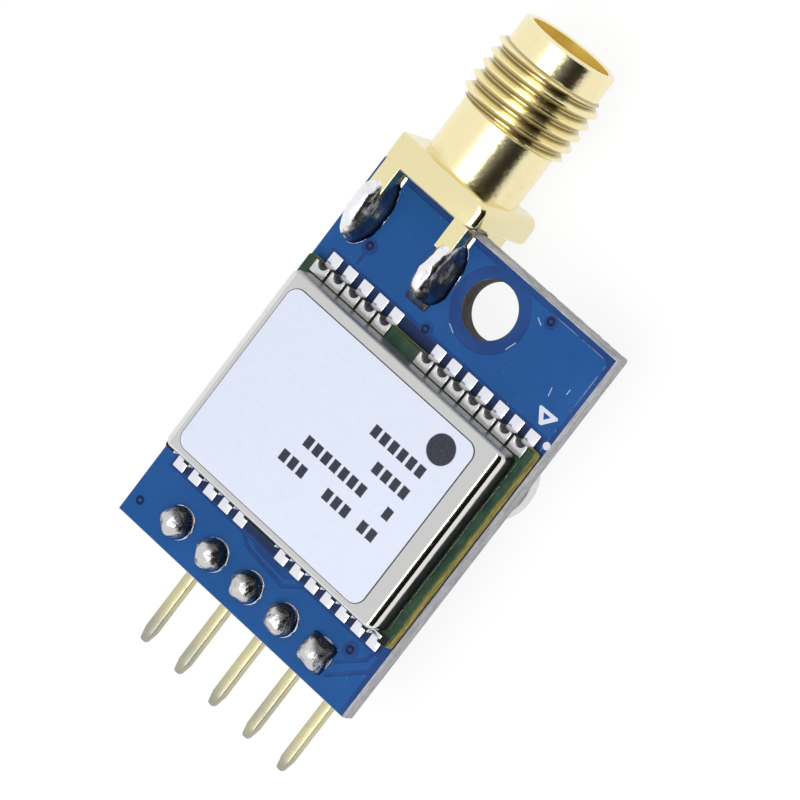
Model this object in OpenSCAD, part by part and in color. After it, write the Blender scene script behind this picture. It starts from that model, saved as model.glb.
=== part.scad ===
// Satellite receiver module on a small carrier board, with an edge antenna jack and a bent pin header.
// X runs along the header, Y from the header end to the antenna end, Z away from the board's front.
// The board is laid out from its header-end left corner with Z = 0 on its front face, and the whole
// module is then set down so that its lowest edge touches Z = 0, centred over the origin.

/* [Receiver module] */
// Length of the receiver's own board, along the header
module_l = 16.0; // [14:0.1:22]
// Width of the receiver's own board
module_w = 12.2; // [10:0.1:16]
// Thickness of the receiver's own board
module_t = 0.8; // [0.6:0.05:1.2]
// Corner radius of the receiver's own board
module_r = 0.5; // [0.2:0.05:0.8]
// Distance from one terminal to the next
term_pitch = 1.1; // [0.9:0.01:1.27]
// Width of one terminal
term_w = 0.8; // [0.65:0.01:0.85]
// Length of one terminal, inwards from the edge
term_l = 0.7; // [0.5:0.01:0.72]
// Distance from the end of the receiver's board to its first terminal
term_end = 1.0; // [0.9:0.05:1.2]
// Diameter of the plated half-round notch of a terminal
notch_d = 0.6; // [0.4:0.02:0.64]
// Thickness of the plating in the notch and on the terminal
plating = 0.06; // [0.03:0.01:0.08]
// Height of the solder that climbs in a notch
notch_solder_h = 0.42; // [0.2:0.02:0.55]

/* [Shield can] */
// Board that stays bare beyond each end of the can
can_in_x = 0.85; // [0.8:0.05:1.5]
// Board that stays bare along each side of the can
can_in_y = 0.75; // [0.73:0.01:1.2]
// Height of the can above the receiver's board
can_h = 1.55; // [1.35:0.05:3]
// Thickness of the can's sheet
can_wall = 0.2; // [0.1:0.01:0.3]
// Radius of the can's rounded edges
can_r = 0.36; // [0.32:0.02:0.6]
// Thickness of the label
label_t = 0.06; // [0.03:0.01:0.15]
// Corner radius of the label
label_r = 0.9; // [0.3:0.05:1.5]
// Bare metal at the left end of the label
label_left = 0.42; // [0.4:0.01:1.5]
// Bare metal at the right end of the label
label_right = 1.05; // [0.4:0.01:2]
// Bare metal on the label's header side
label_low = 0.42; // [0.4:0.01:1.5]
// Bare metal on the label's antenna side
label_high = 0.72; // [0.4:0.01:1.5]

/* [Parts under the can] */
// Side of the square receiver chip
chip_l = 7.0; // [5:0.1:8]
// Height of the receiver chip
chip_h = 0.85; // [0.5:0.05:0.95]
// Distance from the can's left wall to the receiver chip
chip_in = 1.0; // [0.3:0.1:1.5]
// Length of the oscillator
osc_l = 2.5; // [1.6:0.1:3]
// Width of the oscillator
osc_w = 2.0; // [1.2:0.1:2.5]
// Height of the oscillator
osc_h = 0.8; // [0.5:0.05:0.95]
// Length of the band filter
saw_l = 1.4; // [1:0.1:2]
// Width of the band filter
saw_w = 1.1; // [0.8:0.1:1.6]
// Height of the band filter
saw_h = 0.5; // [0.3:0.05:0.9]
// Length of the clock crystal
xtal_l = 3.2; // [2:0.1:3.6]
// Width of the clock crystal
xtal_w = 1.5; // [1:0.1:1.8]
// Height of the clock crystal
xtal_h = 0.75; // [0.5:0.05:0.95]
// Free space between neighbours under the can
inner_gap = 0.6; // [0.4:0.05:0.8]
// Length of one small passive part
passive_l = 1.0; // [0.6:0.1:1.2]
// Width of one small passive part
passive_w = 0.5; // [0.3:0.05:0.6]
// Height of one small passive part
passive_h = 0.5; // [0.3:0.05:0.6]

/* [Carrier board] */
// Carrier board that shows beyond the receiver's left end
side_left = 0.3; // [0.1:0.05:3]
// Carrier board that shows beyond the receiver's right end
side_right = 0.1; // [0:0.05:3]
// Carrier board between the header end and the receiver
header_strip = 4.2; // [4:0.1:8]
// Carrier board between the receiver and the antenna end
jack_strip = 5.9; // [5.7:0.1:12]
// Thickness of the carrier board
board_t = 1.2; // [0.8:0.1:2]
// How far the snapped edge stands out at the antenna end
score_lip = 0.25; // [0.05:0.05:0.5]
// Height of the slope above and below the snapped edge
score_h = 0.35; // [0.1:0.05:0.38]
// Diameter of the mounting hole
hole_d = 3.0; // [2:0.1:3.4]
// Mounting hole, from the board's left edge
hole_x = 9.45; // [9.2:0.05:13]
// Mounting hole, from the antenna end
hole_in = 2.25; // [2:0.05:3]
// Thickness of a tinned pad
pad_t = 0.05; // [0.03:0.01:0.1]
// Width of a receiver pad on the carrier board
pad_w = 0.7; // [0.5:0.05:0.8]
// How far a receiver pad reaches beyond the receiver
pad_reach = 0.65; // [0.3:0.05:0.9]
// How far a receiver pad reaches under the receiver
pad_under = 0.95; // [0.6:0.05:1.5]

/* [Antenna jack] */
// Jack axis, from the board's left edge
jack_x = 3.55; // [3.4:0.05:4]
// Jack axis below the back face of the board
axis_drop = 0.775; // [0.72:0.005:1]
// Side of the square flange
flange = 6.35; // [6.3:0.05:7]
// Thickness of the flange
flange_t = 1.5; // [1:0.05:3]
// Radius of the flange's corners
flange_r = 0.9; // [0.2:0.05:1.2]
// Length of a leg along the board
leg_l = 4.1; // [3.5:0.05:4.4]
// Clear width between a pair of legs
leg_gap = 3.9; // [3.7:0.05:4.1]
// Width of a leg
leg_w = 0.95; // [0.6:0.05:1]
// Height of a leg on the back of the board
rear_leg_h = 2.2; // [1:0.05:2.6]
// Diameter of the neck
neck_d = 5.35; // [5:0.05:6]
// Length of the neck
neck_l = 3.1; // [1:0.05:5]
// Outer diameter of the thread
thread_d = 6.2; // [6.1:0.01:6.35]
// Length of the thread
thread_l = 3.6; // [2:0.05:8]
// Distance from one turn of the thread to the next
thread_pitch = 0.7; // [0.6:0.01:1.2]
// Depth of the thread
thread_cut = 0.36; // [0.2:0.02:0.36]
// Width of the flat on each turn of the thread
thread_flat = 0.12; // [0.06:0.01:0.2]
// Diameter of the plain nose
nose_d = 5.4; // [5.2:0.05:5.8]
// Length of the plain nose
nose_l = 1.45; // [0.5:0.05:3]
// Chamfer at the rim of the nose
nose_cut = 0.12; // [0.05:0.01:0.15]
// Diameter of the mouth
mouth_d = 4.6; // [4.4:0.05:4.8]
// Depth of the mouth
mouth_l = 1.9; // [1:0.05:2.5]
// Diameter of the insulator
insulator_d = 4.1; // [3.6:0.05:4.3]
// Diameter of the centre contact
contact_d = 1.27; // [1:0.01:1.4]
// Diameter of the contact's socket
socket_d = 0.94; // [0.6:0.01:0.96]
// Depth of the contact's socket
socket_l = 3.0; // [2:0.1:4]
// Width of the slits in the contact's socket
slit_w = 0.16; // [0.1:0.01:0.25]
// Diameter of the contact's tail on the board
tail_d = 1.2; // [0.7:0.01:1.27]
// Length of the contact's tail on the board
tail_l = 3.0; // [2:0.1:3.6]
// How far the leg solder runs past the end of a leg
leg_solder_over = 0.5; // [0.2:0.05:0.6]
// Length of the leg solder
leg_solder_l = 4.0; // [3:0.1:4.2]
// Radius of the leg solder
leg_solder_r = 1.0; // [0.8:0.05:1.05]
// Height of the leg solder's axis above its pad
leg_solder_z = 0.3; // [0.1:0.05:0.5]
// Bare tin that shows beside the leg solder
jack_pad_rim = 0.1; // [0.02:0.01:0.15]
// Radius of the solder at the contact's tail
tail_solder_r = 0.85; // [0.75:0.05:0.95]

/* [Pin header] */
// Distance from one pin to the next
pin_pitch = 2.54; // [2.3:0.01:2.7]
// Side of a square pin
pin_w = 0.6; // [0.5:0.02:0.64]
// Row of pins, from the header end of the board
header_in = 1.575; // [1.4:0.025:2]
// Height and depth of the plastic block
block_h = 2.54; // [2:0.02:3]
// Chamfer at the block's corners and notches
block_cut = 0.45; // [0.2:0.05:0.6]
// Straight part of a pin between the block and its bend
pin_gap = 0.5; // [0.1:0.05:1]
// Bend radius at the middle of a pin
bend_r = 1.1; // [0.5:0.05:1.35]
// How far the pins reach beyond the board
pin_reach = 5.6; // [3:0.1:12]
// Length of a pin's tapered tip
pin_tip_l = 0.7; // [0.3:0.05:1]
// Width of a pin's tip
pin_tip_w = 0.34; // [0.2:0.02:0.4]
// Height of a pin above the front of the board
pin_rise = 0.8; // [0.5:0.05:0.85]
// Diameter of the plated hole around a pin
pin_hole_d = 1.0; // [0.95:0.05:1.2]
// Diameter of a header pad
pin_pad_d = 1.85; // [1.6:0.05:2]
// Diameter of a header solder joint
pin_solder_d = 1.7; // [1.4:0.05:1.8]
// Height of a header solder joint above its pad
pin_solder_h = 0.95; // [0.9:0.05:1.3]

/* [Parts on the back] */
// Diameter of the backup cell
cell_d = 4.8; // [4:0.1:6]
// Height of the backup cell
cell_h = 1.4; // [1:0.1:2.4]
// Gap from the board's right edge to the backup cell
cell_in = 0.15; // [0:0.05:0.5]
// Backup cell, from the header end of the board
cell_y = 13.7; // [13:0.1:14.2]
// Thickness of the cell's tabs
tab_t = 0.15; // [0.1:0.01:0.2]
// Width of the cell's tabs
tab_w = 1.4; // [1:0.1:2]
// How far a cell tab reaches past the cell
tab_out = 0.9; // [0.6:0.05:1.1]
// Length of the regulator's body
reg_l = 2.9; // [2.4:0.1:3.2]
// Width of the regulator's body
reg_w = 1.6; // [1.2:0.1:1.8]
// Height of the regulator's body
reg_h = 1.1; // [0.8:0.05:1.3]
// Regulator, from the board's left edge
reg_x = 4.4; // [4:0.1:4.8]
// Regulator, from the header end of the board
reg_y = 7.2; // [6.8:0.1:7.6]
// Thickness of a regulator lead
lead_t = 0.15; // [0.1:0.01:0.2]
// Width of a regulator lead
lead_w = 0.4; // [0.3:0.02:0.5]
// How far a regulator lead reaches beyond the body
lead_out = 0.6; // [0.5:0.05:0.7]
// Distance between regulator leads
lead_pitch = 0.95; // [0.8:0.01:1]
// Length of a capacitor
cap_l = 2.0; // [1.6:0.1:2.2]
// Width of a capacitor
cap_w = 1.25; // [0.8:0.05:1.4]
// Height of a capacitor
cap_h = 0.85; // [0.5:0.05:1.2]
// Length of the resistor, the inductor and the indicator lamp
small_l = 1.6; // [1.2:0.1:1.8]
// Width of the resistor, the inductor and the indicator lamp
small_w = 0.8; // [0.5:0.05:1]
// Height of the resistor
res_h = 0.45; // [0.3:0.05:0.6]
// Height of the inductor
coil_h = 0.8; // [0.5:0.05:1]
// Height of the indicator lamp's base
lamp_base_h = 0.3; // [0.2:0.05:0.4]
// Height of the indicator lamp's lens
lamp_lens_h = 0.35; // [0.2:0.05:0.5]
// Length of a metal end on a small part
end_l = 0.35; // [0.2:0.05:0.45]
// Length of the diode's body
diode_l = 1.7; // [1.4:0.1:1.9]
// Width of the diode's body
diode_w = 1.25; // [1:0.05:1.4]
// Height of the diode's body
diode_h = 0.9; // [0.6:0.05:1.1]
// Tin that shows around the foot of a small part
foot_rim = 0.12; // [0.05:0.01:0.2]

/* [Hidden] */

$fn = 48;
// Overlap of a cutting shape with the air
cut = 0.2;
pin_count = 5;
left_terms = 5;
right_terms = 7;

board_w = side_left + module_l + side_right;
board_l = header_strip + module_w + jack_strip;
front_z = pad_t;
back_z = -board_t - pad_t;

module_x = side_left;
module_y = header_strip;
module_mid_x = module_x + module_l / 2;
module_mid_y = module_y + module_w / 2;
deck_z = front_z + module_t;
term_x = concat(
    [for (i = [0 : left_terms - 1]) term_end + i * term_pitch],
    [for (i = [0 : right_terms - 1]) module_l - term_end - (right_terms - 1 - i) * term_pitch]
);

can_l = module_l - 2 * can_in_x;
can_w = module_w - 2 * can_in_y;
can_top = deck_z + can_h;
can_x = module_x + can_in_x;
can_y = module_y + can_in_y;

flange_y = board_l + score_lip;
neck_y = flange_y + flange_t;
thread_y = neck_y + neck_l;
nose_y = thread_y + thread_l;
thread_turns = max(1, floor(thread_l / thread_pitch));
turn_l = thread_l / thread_turns;
tip_y = nose_y + nose_l;
axis_z = -board_t - axis_drop;
leg_mid = leg_gap / 2 + leg_w / 2;
leg_solder_y = flange_y - leg_l - leg_solder_over + leg_solder_l / 2;
jack_pad_w = 2 * leg_solder_r + 2 * jack_pad_rim;
jack_pad_y = flange_y - leg_l - leg_solder_over;
tail_y = flange_y - tail_l;

header_mid_x = board_w / 2;
function pin_x(i) = header_mid_x + (i - (pin_count + 1) / 2) * pin_pitch;
block_z = back_z - block_h;
bend_z = block_z - pin_gap;
pin_z = bend_z - bend_r;

cell_x = board_w - cell_in - cell_d / 2;
cell_z = back_z - tab_t;

// The small parts on the back: middle of each, and the way it lies
cap_places = [[9.2, 7.2], [4.4, 10.4], [9.2, 10.4]];
res_place = [9.2, 4.6];
lamp_place = [12.6, 4.6];
coil_place = [3.55, 16.2];
diode_place = [8.6, 13.7];

// Feet of the regulator: three on one side, two on the other
reg_feet = [[-1, -1], [0, -1], [1, -1], [-1, 1], [1, 1]];
// Left side of the second column of parts under the can
inner_x = can_x + can_wall + chip_in + chip_l + inner_gap;

lift = max(-pin_z + pin_w / 2, -axis_z + flange / 2);
mid_y = (tip_y - pin_reach) / 2;

// Sets the finished module down on its lowest edge, centred over the origin
module place() {
    translate([-board_w / 2, -mid_y, lift]) children();
}

// Points of a quarter arc, in fifteen degree steps
function arc(x, y, r, a) = [for (i = [0 : 6]) [x + r * cos(a + 15 * i), y + r * sin(a + 15 * i)]];

// Outline of a rectangle with round corners, about its middle
function round_rect(l, w, r) = concat(
    arc(l / 2 - r, w / 2 - r, r, 0),
    arc(-l / 2 + r, w / 2 - r, r, 90),
    arc(-l / 2 + r, -w / 2 + r, r, 180),
    arc(l / 2 - r, -w / 2 + r, r, 270)
);

// Outline of a low arch: square at its foot, round at its top corners
function arch(l, h, r) = concat(
    [[-l / 2, 0], [l / 2, 0]],
    arc(l / 2 - r, h - r, r, 0),
    arc(-l / 2 + r, h - r, r, 90)
);

// A drawn can without its hollow
module can_form(l, w, h, r) {
    intersection() {
        linear_extrude(h) polygon(round_rect(l, w, r));
        rotate([90, 0, 0]) translate([0, 0, -w]) linear_extrude(2 * w) polygon(arch(l, h, r));
        rotate([90, 0, 90]) translate([0, 0, -l]) linear_extrude(2 * l) polygon(arch(w, h, r));
    }
}

// A lens of solder along Y, about its middle
module spindle(r, l) {
    rotate([-90, 0, 0]) rotate_extrude() polygon(concat(
        [[0, -l / 2]],
        [for (i = [1 : 15]) [r * pow(1 - pow(i / 8 - 1, 2), 0.55), (i / 8 - 1) * l / 2]],
        [[0, l / 2]]
    ));
}

// A slab that stands on the back of the board, about its middle
module back_slab(at, l, w, z, h) {
    translate([at[0] - l / 2, at[1] - w / 2, z - h]) cube([l, w, h]);
}

// The two metal ends of a small part on the back
module back_ends(at, l, w, h) {
    for (s = [-1, 1])
        back_slab([at[0] + s * (l / 2 - end_l / 2), at[1]], end_l, w, back_z, h);
}

// The two pads of a small part on the back
module back_feet(at, l, w) {
    for (s = [-1, 1])
        back_slab(
            [at[0] + s * (l / 2 - end_l / 2), at[1]],
            end_l + 2 * foot_rim, w + 2 * foot_rim, -board_t, pad_t
        );
}

// Everything at the leg's cross-section, run along one leg's length
module leg_bar(side, z0, z1) {
    intersection() {
        translate([jack_x, flange_y - leg_l, axis_z]) rotate([-90, 0, 0])
            linear_extrude(leg_l + flange_t / 2) polygon(round_rect(flange, flange, flange_r));
        translate([jack_x + side * leg_mid - leg_w / 2, flange_y - leg_l, z0])
            cube([leg_w, leg_l + flange_t / 2, z1 - z0]);
    }
}

// The upright part of pin i, from above the board to its bend
module pin_upright(i) {
    translate([pin_x(i) - pin_w / 2, header_in - pin_w / 2, bend_z])
        cube([pin_w, pin_w, pin_rise - bend_z]);
}

module carrier_board() {
    color([0.10, 0.30, 0.58]) place() difference() {
        rotate([90, 0, 90]) linear_extrude(board_w) polygon([
            [0, 0], [board_l, 0],
            [board_l + score_lip, -score_h], [board_l + score_lip, score_h - board_t],
            [board_l, -board_t], [0, -board_t]
        ]);
        translate([hole_x, board_l - hole_in, -board_t - cut])
            cylinder(h = board_t + 2 * cut, d = hole_d);
        for (i = [1 : pin_count])
            translate([pin_x(i), header_in, -board_t - cut])
                cylinder(h = board_t + 2 * cut, d = pin_hole_d);
    }
}

module front_pads() {
    color([0.88, 0.89, 0.92]) place() {
        for (x = term_x) {
            translate([module_x + x - pad_w / 2, module_y - pad_reach, 0])
                cube([pad_w, pad_reach + pad_under, pad_t]);
            translate([module_x + x - pad_w / 2, module_y + module_w - pad_under, 0])
                cube([pad_w, pad_reach + pad_under, pad_t]);
        }
        for (s = [-1, 1])
            translate([jack_x + s * leg_mid - jack_pad_w / 2, jack_pad_y, 0])
                cube([jack_pad_w, board_l - jack_pad_y, pad_t]);
        for (i = [1 : pin_count])
            translate([pin_x(i), header_in, 0]) difference() {
                if (i < pin_count)
                    cylinder(h = pad_t, d = pin_pad_d);
                else
                    translate([-pin_pad_d / 2, -pin_pad_d / 2, 0]) cube([pin_pad_d, pin_pad_d, pad_t]);
                translate([0, 0, -cut]) cylinder(h = pad_t + 2 * cut, d = pin_hole_d);
            }
    }
}

module back_pads() {
    color([0.86, 0.87, 0.90]) place() {
        for (s = [-1, 1])
            translate([jack_x + s * leg_mid - jack_pad_w / 2, jack_pad_y, back_z])
                cube([jack_pad_w, board_l - jack_pad_y, pad_t]);
        translate([jack_x - tail_solder_r / 2, tail_y, back_z])
            cube([tail_solder_r, board_l - tail_y, pad_t]);
        for (i = [1 : pin_count])
            translate([pin_x(i), header_in, back_z]) difference() {
                cylinder(h = pad_t, d = pin_pad_d);
                translate([0, 0, -cut]) cylinder(h = pad_t + 2 * cut, d = pin_hole_d);
            }
        for (p = cap_places)
            back_feet(p, cap_l, cap_w);
        back_feet(res_place, small_l, small_w);
        back_feet(lamp_place, small_l, small_w);
        back_feet(coil_place, small_l, small_w);
        for (s = [-1, 1]) {
            back_slab(
                [cell_x, cell_y + s * (cell_d / 2 + tab_out / 2)],
                tab_w + 2 * foot_rim, tab_out + foot_rim, -board_t, pad_t
            );
            back_slab(
                [diode_place[0] + s * (diode_l / 2 + lead_out / 2), diode_place[1]],
                lead_out, lead_w + 2 * foot_rim, -board_t, pad_t
            );
        }
        for (p = reg_feet)
            back_slab(
                [reg_x + p[0] * lead_pitch, reg_y + p[1] * (reg_w / 2 + lead_out / 2 + foot_rim)],
                lead_w + 2 * foot_rim, lead_out, -board_t, pad_t
            );
    }
}

module receiver_board() {
    color([0.16, 0.34, 0.22]) place() translate([module_mid_x, module_mid_y, front_z])
        linear_extrude(module_t) difference() {
            polygon(round_rect(module_l, module_w, module_r));
            for (x = term_x, s = [-1, 1])
                translate([x - module_l / 2, s * module_w / 2]) circle(d = notch_d);
        }
}

// One plated terminal of the receiver's board, at its notch, opening towards +Y
module edge_terminal() {
    difference() {
        union() {
            translate([-term_w / 2, -term_l, module_t]) cube([term_w, term_l, plating]);
            intersection() {
                cylinder(h = module_t, d = notch_d);
                translate([-term_w, -term_l, 0]) cube([2 * term_w, term_l, module_t]);
            }
        }
        translate([0, 0, -cut]) cylinder(h = module_t + 3 * cut, d = notch_d - 2 * plating);
    }
}

module edge_terminals() {
    color([0.85, 0.84, 0.80]) place()
        for (x = term_x) {
            translate([module_x + x, module_y + module_w, front_z]) edge_terminal();
            translate([module_x + x, module_y, front_z]) rotate([0, 0, 180]) edge_terminal();
        }
}

module notch_solder() {
    color([0.80, 0.81, 0.84]) place()
        for (x = term_x, s = [0, 1])
            translate([module_x + x, module_y + s * module_w, front_z])
                rotate_extrude() polygon(concat(
                    [[0, 0], [notch_d / 2 - plating, 0]],
                    [for (i = [0 : 6]) [
                        (notch_d / 2 - plating) * cos(15 * i),
                        notch_solder_h * (0.6 + 0.4 * sin(15 * i))
                    ]]
                ));
}

module shield_can() {
    color([0.80, 0.80, 0.80]) place() translate([module_mid_x, module_mid_y, deck_z]) difference() {
        can_form(can_l, can_w, can_h, can_r);
        translate([0, 0, -cut])
            can_form(can_l - 2 * can_wall, can_w - 2 * can_wall, can_h - can_wall + cut, can_r - can_wall);
    }
}

module can_label() {
    label_l = can_l - label_left - label_right;
    label_w = can_w - label_low - label_high;
    color([0.87, 0.89, 0.96]) place()
        translate([can_x + label_left + label_l / 2, can_y + label_low + label_w / 2, can_top])
            linear_extrude(label_t) polygon(round_rect(label_l, label_w, label_r));
}

module receiver_chip() {
    color([0.12, 0.12, 0.13]) place()
        translate([can_x + can_wall + chip_in, module_mid_y - chip_l / 2, deck_z])
            cube([chip_l, chip_l, chip_h]);
}

module oscillator() {
    color([0.78, 0.72, 0.52]) place()
        translate([inner_x, module_mid_y + xtal_w / 2 + inner_gap, deck_z]) cube([osc_l, osc_w, osc_h]);
}

module clock_crystal() {
    color([0.80, 0.78, 0.70]) place()
        translate([inner_x, module_mid_y - xtal_w / 2, deck_z]) cube([xtal_l, xtal_w, xtal_h]);
}

module band_filter() {
    color([0.70, 0.66, 0.52]) place()
        translate([inner_x, module_mid_y - xtal_w / 2 - inner_gap - saw_w, deck_z])
            cube([saw_l, saw_w, saw_h]);
}

module module_passives() {
    color([0.55, 0.45, 0.34]) place()
        for (i = [0 : 2])
            translate([
                inner_x + i * (passive_l + inner_gap / 2),
                module_mid_y - xtal_w / 2 - 2 * inner_gap - saw_w - passive_w,
                deck_z
            ])
                cube([passive_l, passive_w, passive_h]);
}

// Outline of the jack's barrel from its axis outwards, with Y along the axis from the flange;
// each turn of the thread is a ring between two grooves
function barrel_side() = [
    [0, -flange_t / 2], [neck_d / 2, -flange_t / 2], [neck_d / 2, neck_l],
    [thread_d / 2 - thread_cut, neck_l],
    for (i = [0 : thread_turns - 1]) each [
        [thread_d / 2, neck_l + (i + 0.5) * turn_l - thread_flat / 2],
        [thread_d / 2, neck_l + (i + 0.5) * turn_l + thread_flat / 2],
        [thread_d / 2 - thread_cut, neck_l + (i + 1) * turn_l]
    ],
    [nose_d / 2, neck_l + thread_l], [nose_d / 2, tip_y - neck_y - nose_cut],
    [nose_d / 2 - nose_cut, tip_y - neck_y], [0, tip_y - neck_y]
];

module jack_body() {
    color([0.88, 0.79, 0.52]) place() difference() {
        union() {
            translate([jack_x, flange_y, axis_z]) rotate([-90, 0, 0])
                linear_extrude(flange_t) polygon(round_rect(flange, flange, flange_r));
            translate([jack_x, neck_y, axis_z]) rotate([-90, 0, 0]) rotate_extrude()
                polygon(barrel_side());
            for (s = [-1, 1]) {
                leg_bar(s, front_z, axis_z + flange / 2);
                leg_bar(s, back_z - rear_leg_h, back_z);
            }
        }
        translate([jack_x, flange_y - cut, axis_z]) rotate([-90, 0, 0])
            cylinder(h = tip_y - flange_y + 2 * cut, d = insulator_d);
        translate([jack_x, tip_y - mouth_l, axis_z]) rotate([-90, 0, 0])
            cylinder(h = mouth_l + cut, d = mouth_d);
    }
}

module jack_insulator() {
    color([0.95, 0.95, 0.93]) place() translate([jack_x, flange_y, axis_z]) rotate([-90, 0, 0])
        difference() {
            cylinder(h = tip_y - mouth_l - flange_y, d = insulator_d);
            translate([0, 0, -cut]) cylinder(h = tip_y - mouth_l - flange_y + 2 * cut, d = contact_d);
        }
}

module jack_contact() {
    color([0.90, 0.78, 0.42]) place() translate([jack_x, 0, axis_z]) rotate([-90, 0, 0]) difference() {
        union() {
            translate([0, 0, flange_y]) cylinder(h = tip_y - mouth_l - flange_y, d = contact_d);
            translate([0, 0, tail_y]) cylinder(h = tail_l + cut, d = tail_d);
        }
        translate([0, 0, tip_y - mouth_l - socket_l]) cylinder(h = socket_l + cut, d = socket_d);
        for (a = [0, 90])
            rotate([0, 0, a]) translate([-contact_d, -slit_w / 2, tip_y - mouth_l - socket_l * 0.7])
                cube([2 * contact_d, slit_w, socket_l]);
    }
}

// Solder around one front leg of the jack
module leg_solder_front(side) {
    color([0.72, 0.73, 0.76]) place() difference() {
        translate([jack_x + side * leg_mid, leg_solder_y, front_z + leg_solder_z])
            spindle(leg_solder_r, leg_solder_l);
        translate([jack_x + side * leg_mid - 2 * leg_solder_r, leg_solder_y - leg_solder_l, front_z - 2])
            cube([4 * leg_solder_r, 2 * leg_solder_l, 2]);
        leg_bar(side, front_z, axis_z + flange / 2);
    }
}

module leg_solder_front_left() {
    leg_solder_front(-1);
}

module leg_solder_front_right() {
    leg_solder_front(1);
}

// Solder around one back leg of the jack
module leg_solder_back(side) {
    color([0.72, 0.73, 0.76]) place() difference() {
        translate([jack_x + side * leg_mid, leg_solder_y, back_z - leg_solder_z])
            spindle(leg_solder_r, leg_solder_l);
        translate([jack_x + side * leg_mid - 2 * leg_solder_r, leg_solder_y - leg_solder_l, back_z])
            cube([4 * leg_solder_r, 2 * leg_solder_l, 2]);
        leg_bar(side, back_z - rear_leg_h, back_z);
    }
}

module leg_solder_back_left() {
    leg_solder_back(-1);
}

module leg_solder_back_right() {
    leg_solder_back(1);
}

module tail_solder() {
    tail_solder_l = tail_l - 0.4;
    color([0.72, 0.73, 0.76]) place() difference() {
        translate([jack_x, tail_y + tail_solder_l / 2, axis_z]) spindle(tail_solder_r, tail_solder_l);
        translate([jack_x - 2 * tail_solder_r, tail_y - tail_l, back_z])
            cube([4 * tail_solder_r, 3 * tail_l, 2]);
        translate([jack_x, tail_y, axis_z]) rotate([-90, 0, 0]) cylinder(h = tail_l + cut, d = tail_d);
    }
}

module header_block() {
    low = [for (i = [1 : pin_count], k = [0 : 2]) [
        pin_x(i) + [block_cut - pin_pitch / 2, pin_pitch / 2 - block_cut, pin_pitch / 2][k],
        -block_h / 2 + (k == 2 ? block_cut : 0)
    ]];
    half = concat([[pin_x(1) - pin_pitch / 2, block_cut - block_h / 2]], low);
    last = len(half) - 1;
    color([0.10, 0.10, 0.11]) place() translate([0, header_in, block_z]) linear_extrude(block_h)
        difference() {
            polygon(concat(half, [for (k = [last : -1 : 0]) [half[k][0], -half[k][1]]]));
            for (i = [1 : pin_count])
                translate([pin_x(i) - pin_w / 2, -pin_w / 2]) square(pin_w);
        }
}

module header_pin(i) {
    run_y = header_in - bend_r;
    color([0.80, 0.76, 0.50]) place() {
        union() {
            pin_upright(i);
            translate([pin_x(i), run_y, bend_z]) rotate([-90, 0, 90]) rotate_extrude(angle = 90)
                translate([bend_r - pin_w / 2, -pin_w / 2]) square(pin_w);
            intersection() {
                translate([pin_x(i) - pin_w / 2, 0, pin_z]) rotate([90, 0, 90]) linear_extrude(pin_w)
                    polygon(pin_side(run_y));
                translate([pin_x(i), 0, pin_z - pin_w]) rotate([0, 0, 90]) linear_extrude(2 * pin_w)
                    polygon(pin_side(run_y));
            }
        }
    }
}

// Outline of a pin's run with its tapered tip, along its length
function pin_side(run_y) = [
    [run_y, -pin_w / 2], [run_y, pin_w / 2],
    [pin_tip_l - pin_reach, pin_w / 2], [-pin_reach, pin_tip_w / 2],
    [-pin_reach, -pin_tip_w / 2], [pin_tip_l - pin_reach, -pin_w / 2]
];

module header_solder(i) {
    color([0.62, 0.63, 0.66]) place() difference() {
        translate([pin_x(i), header_in, 0]) rotate_extrude() polygon(concat(
            [[0, back_z], [pin_hole_d / 2, back_z], [pin_hole_d / 2, front_z]],
            [for (k = [0 : 6]) [
                pin_solder_d / 2 * cos(15 * k),
                front_z + pin_solder_h * sin(15 * k)
            ]]
        ));
        pin_upright(i);
    }
}

module backup_cell() {
    rim = cell_h * 0.15;
    color([0.78, 0.78, 0.78]) place() translate([cell_x, cell_y, cell_z - cell_h]) rotate_extrude()
        polygon([
            [0, 0], [cell_d / 2 - rim, 0], [cell_d / 2, rim],
            [cell_d / 2, cell_h * 0.7], [cell_d / 2 - rim, cell_h * 0.85],
            [cell_d / 2 - 2 * rim, cell_h * 0.85], [cell_d / 2 - 2.5 * rim, cell_h], [0, cell_h]
        ]);
}

module cell_tab_cap() {
    color([0.82, 0.82, 0.80]) place()
        back_slab(
            [cell_x, cell_y + cell_d / 4 + tab_out / 2],
            tab_w, cell_d / 2 + tab_out, back_z, tab_t
        );
}

module cell_tab_case() {
    low = cell_z - cell_h - tab_t;
    out = cell_y - cell_d / 2 - tab_out;
    color([0.82, 0.82, 0.80]) place() {
        translate([cell_x - tab_w / 2, out + tab_out / 2, low])
            cube([tab_w, cell_d / 2 + tab_out / 2, tab_t]);
        translate([cell_x - tab_w / 2, out + tab_out / 2, low]) cube([tab_w, tab_t, back_z - low]);
        translate([cell_x - tab_w / 2, out, back_z - tab_t]) cube([tab_w, tab_out / 2 + tab_t, tab_t]);
    }
}

// Outline of a regulator or diode body: straight sides with sloped faces above and below the leads
function body_side(w, h) = [
    [-w / 2, -h / 2], [0.08 * h - w / 2, 0], [w / 2 - 0.08 * h, 0],
    [w / 2, -h / 2], [w / 2 - 0.08 * h, -h], [0.08 * h - w / 2, -h]
];

// Outline of a gull-wing lead that leaves the body at half its height
function lead_side(h) = [
    [0, lead_t / 2 - h / 2], [lead_out / 2 - lead_t / 2, lead_t / 2 - h / 2],
    [lead_out / 2 - lead_t / 2, 0], [lead_out, 0], [lead_out, -lead_t],
    [lead_out / 2 + lead_t / 2, -lead_t], [lead_out / 2 + lead_t / 2, -lead_t / 2 - h / 2],
    [0, -lead_t / 2 - h / 2]
];

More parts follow.
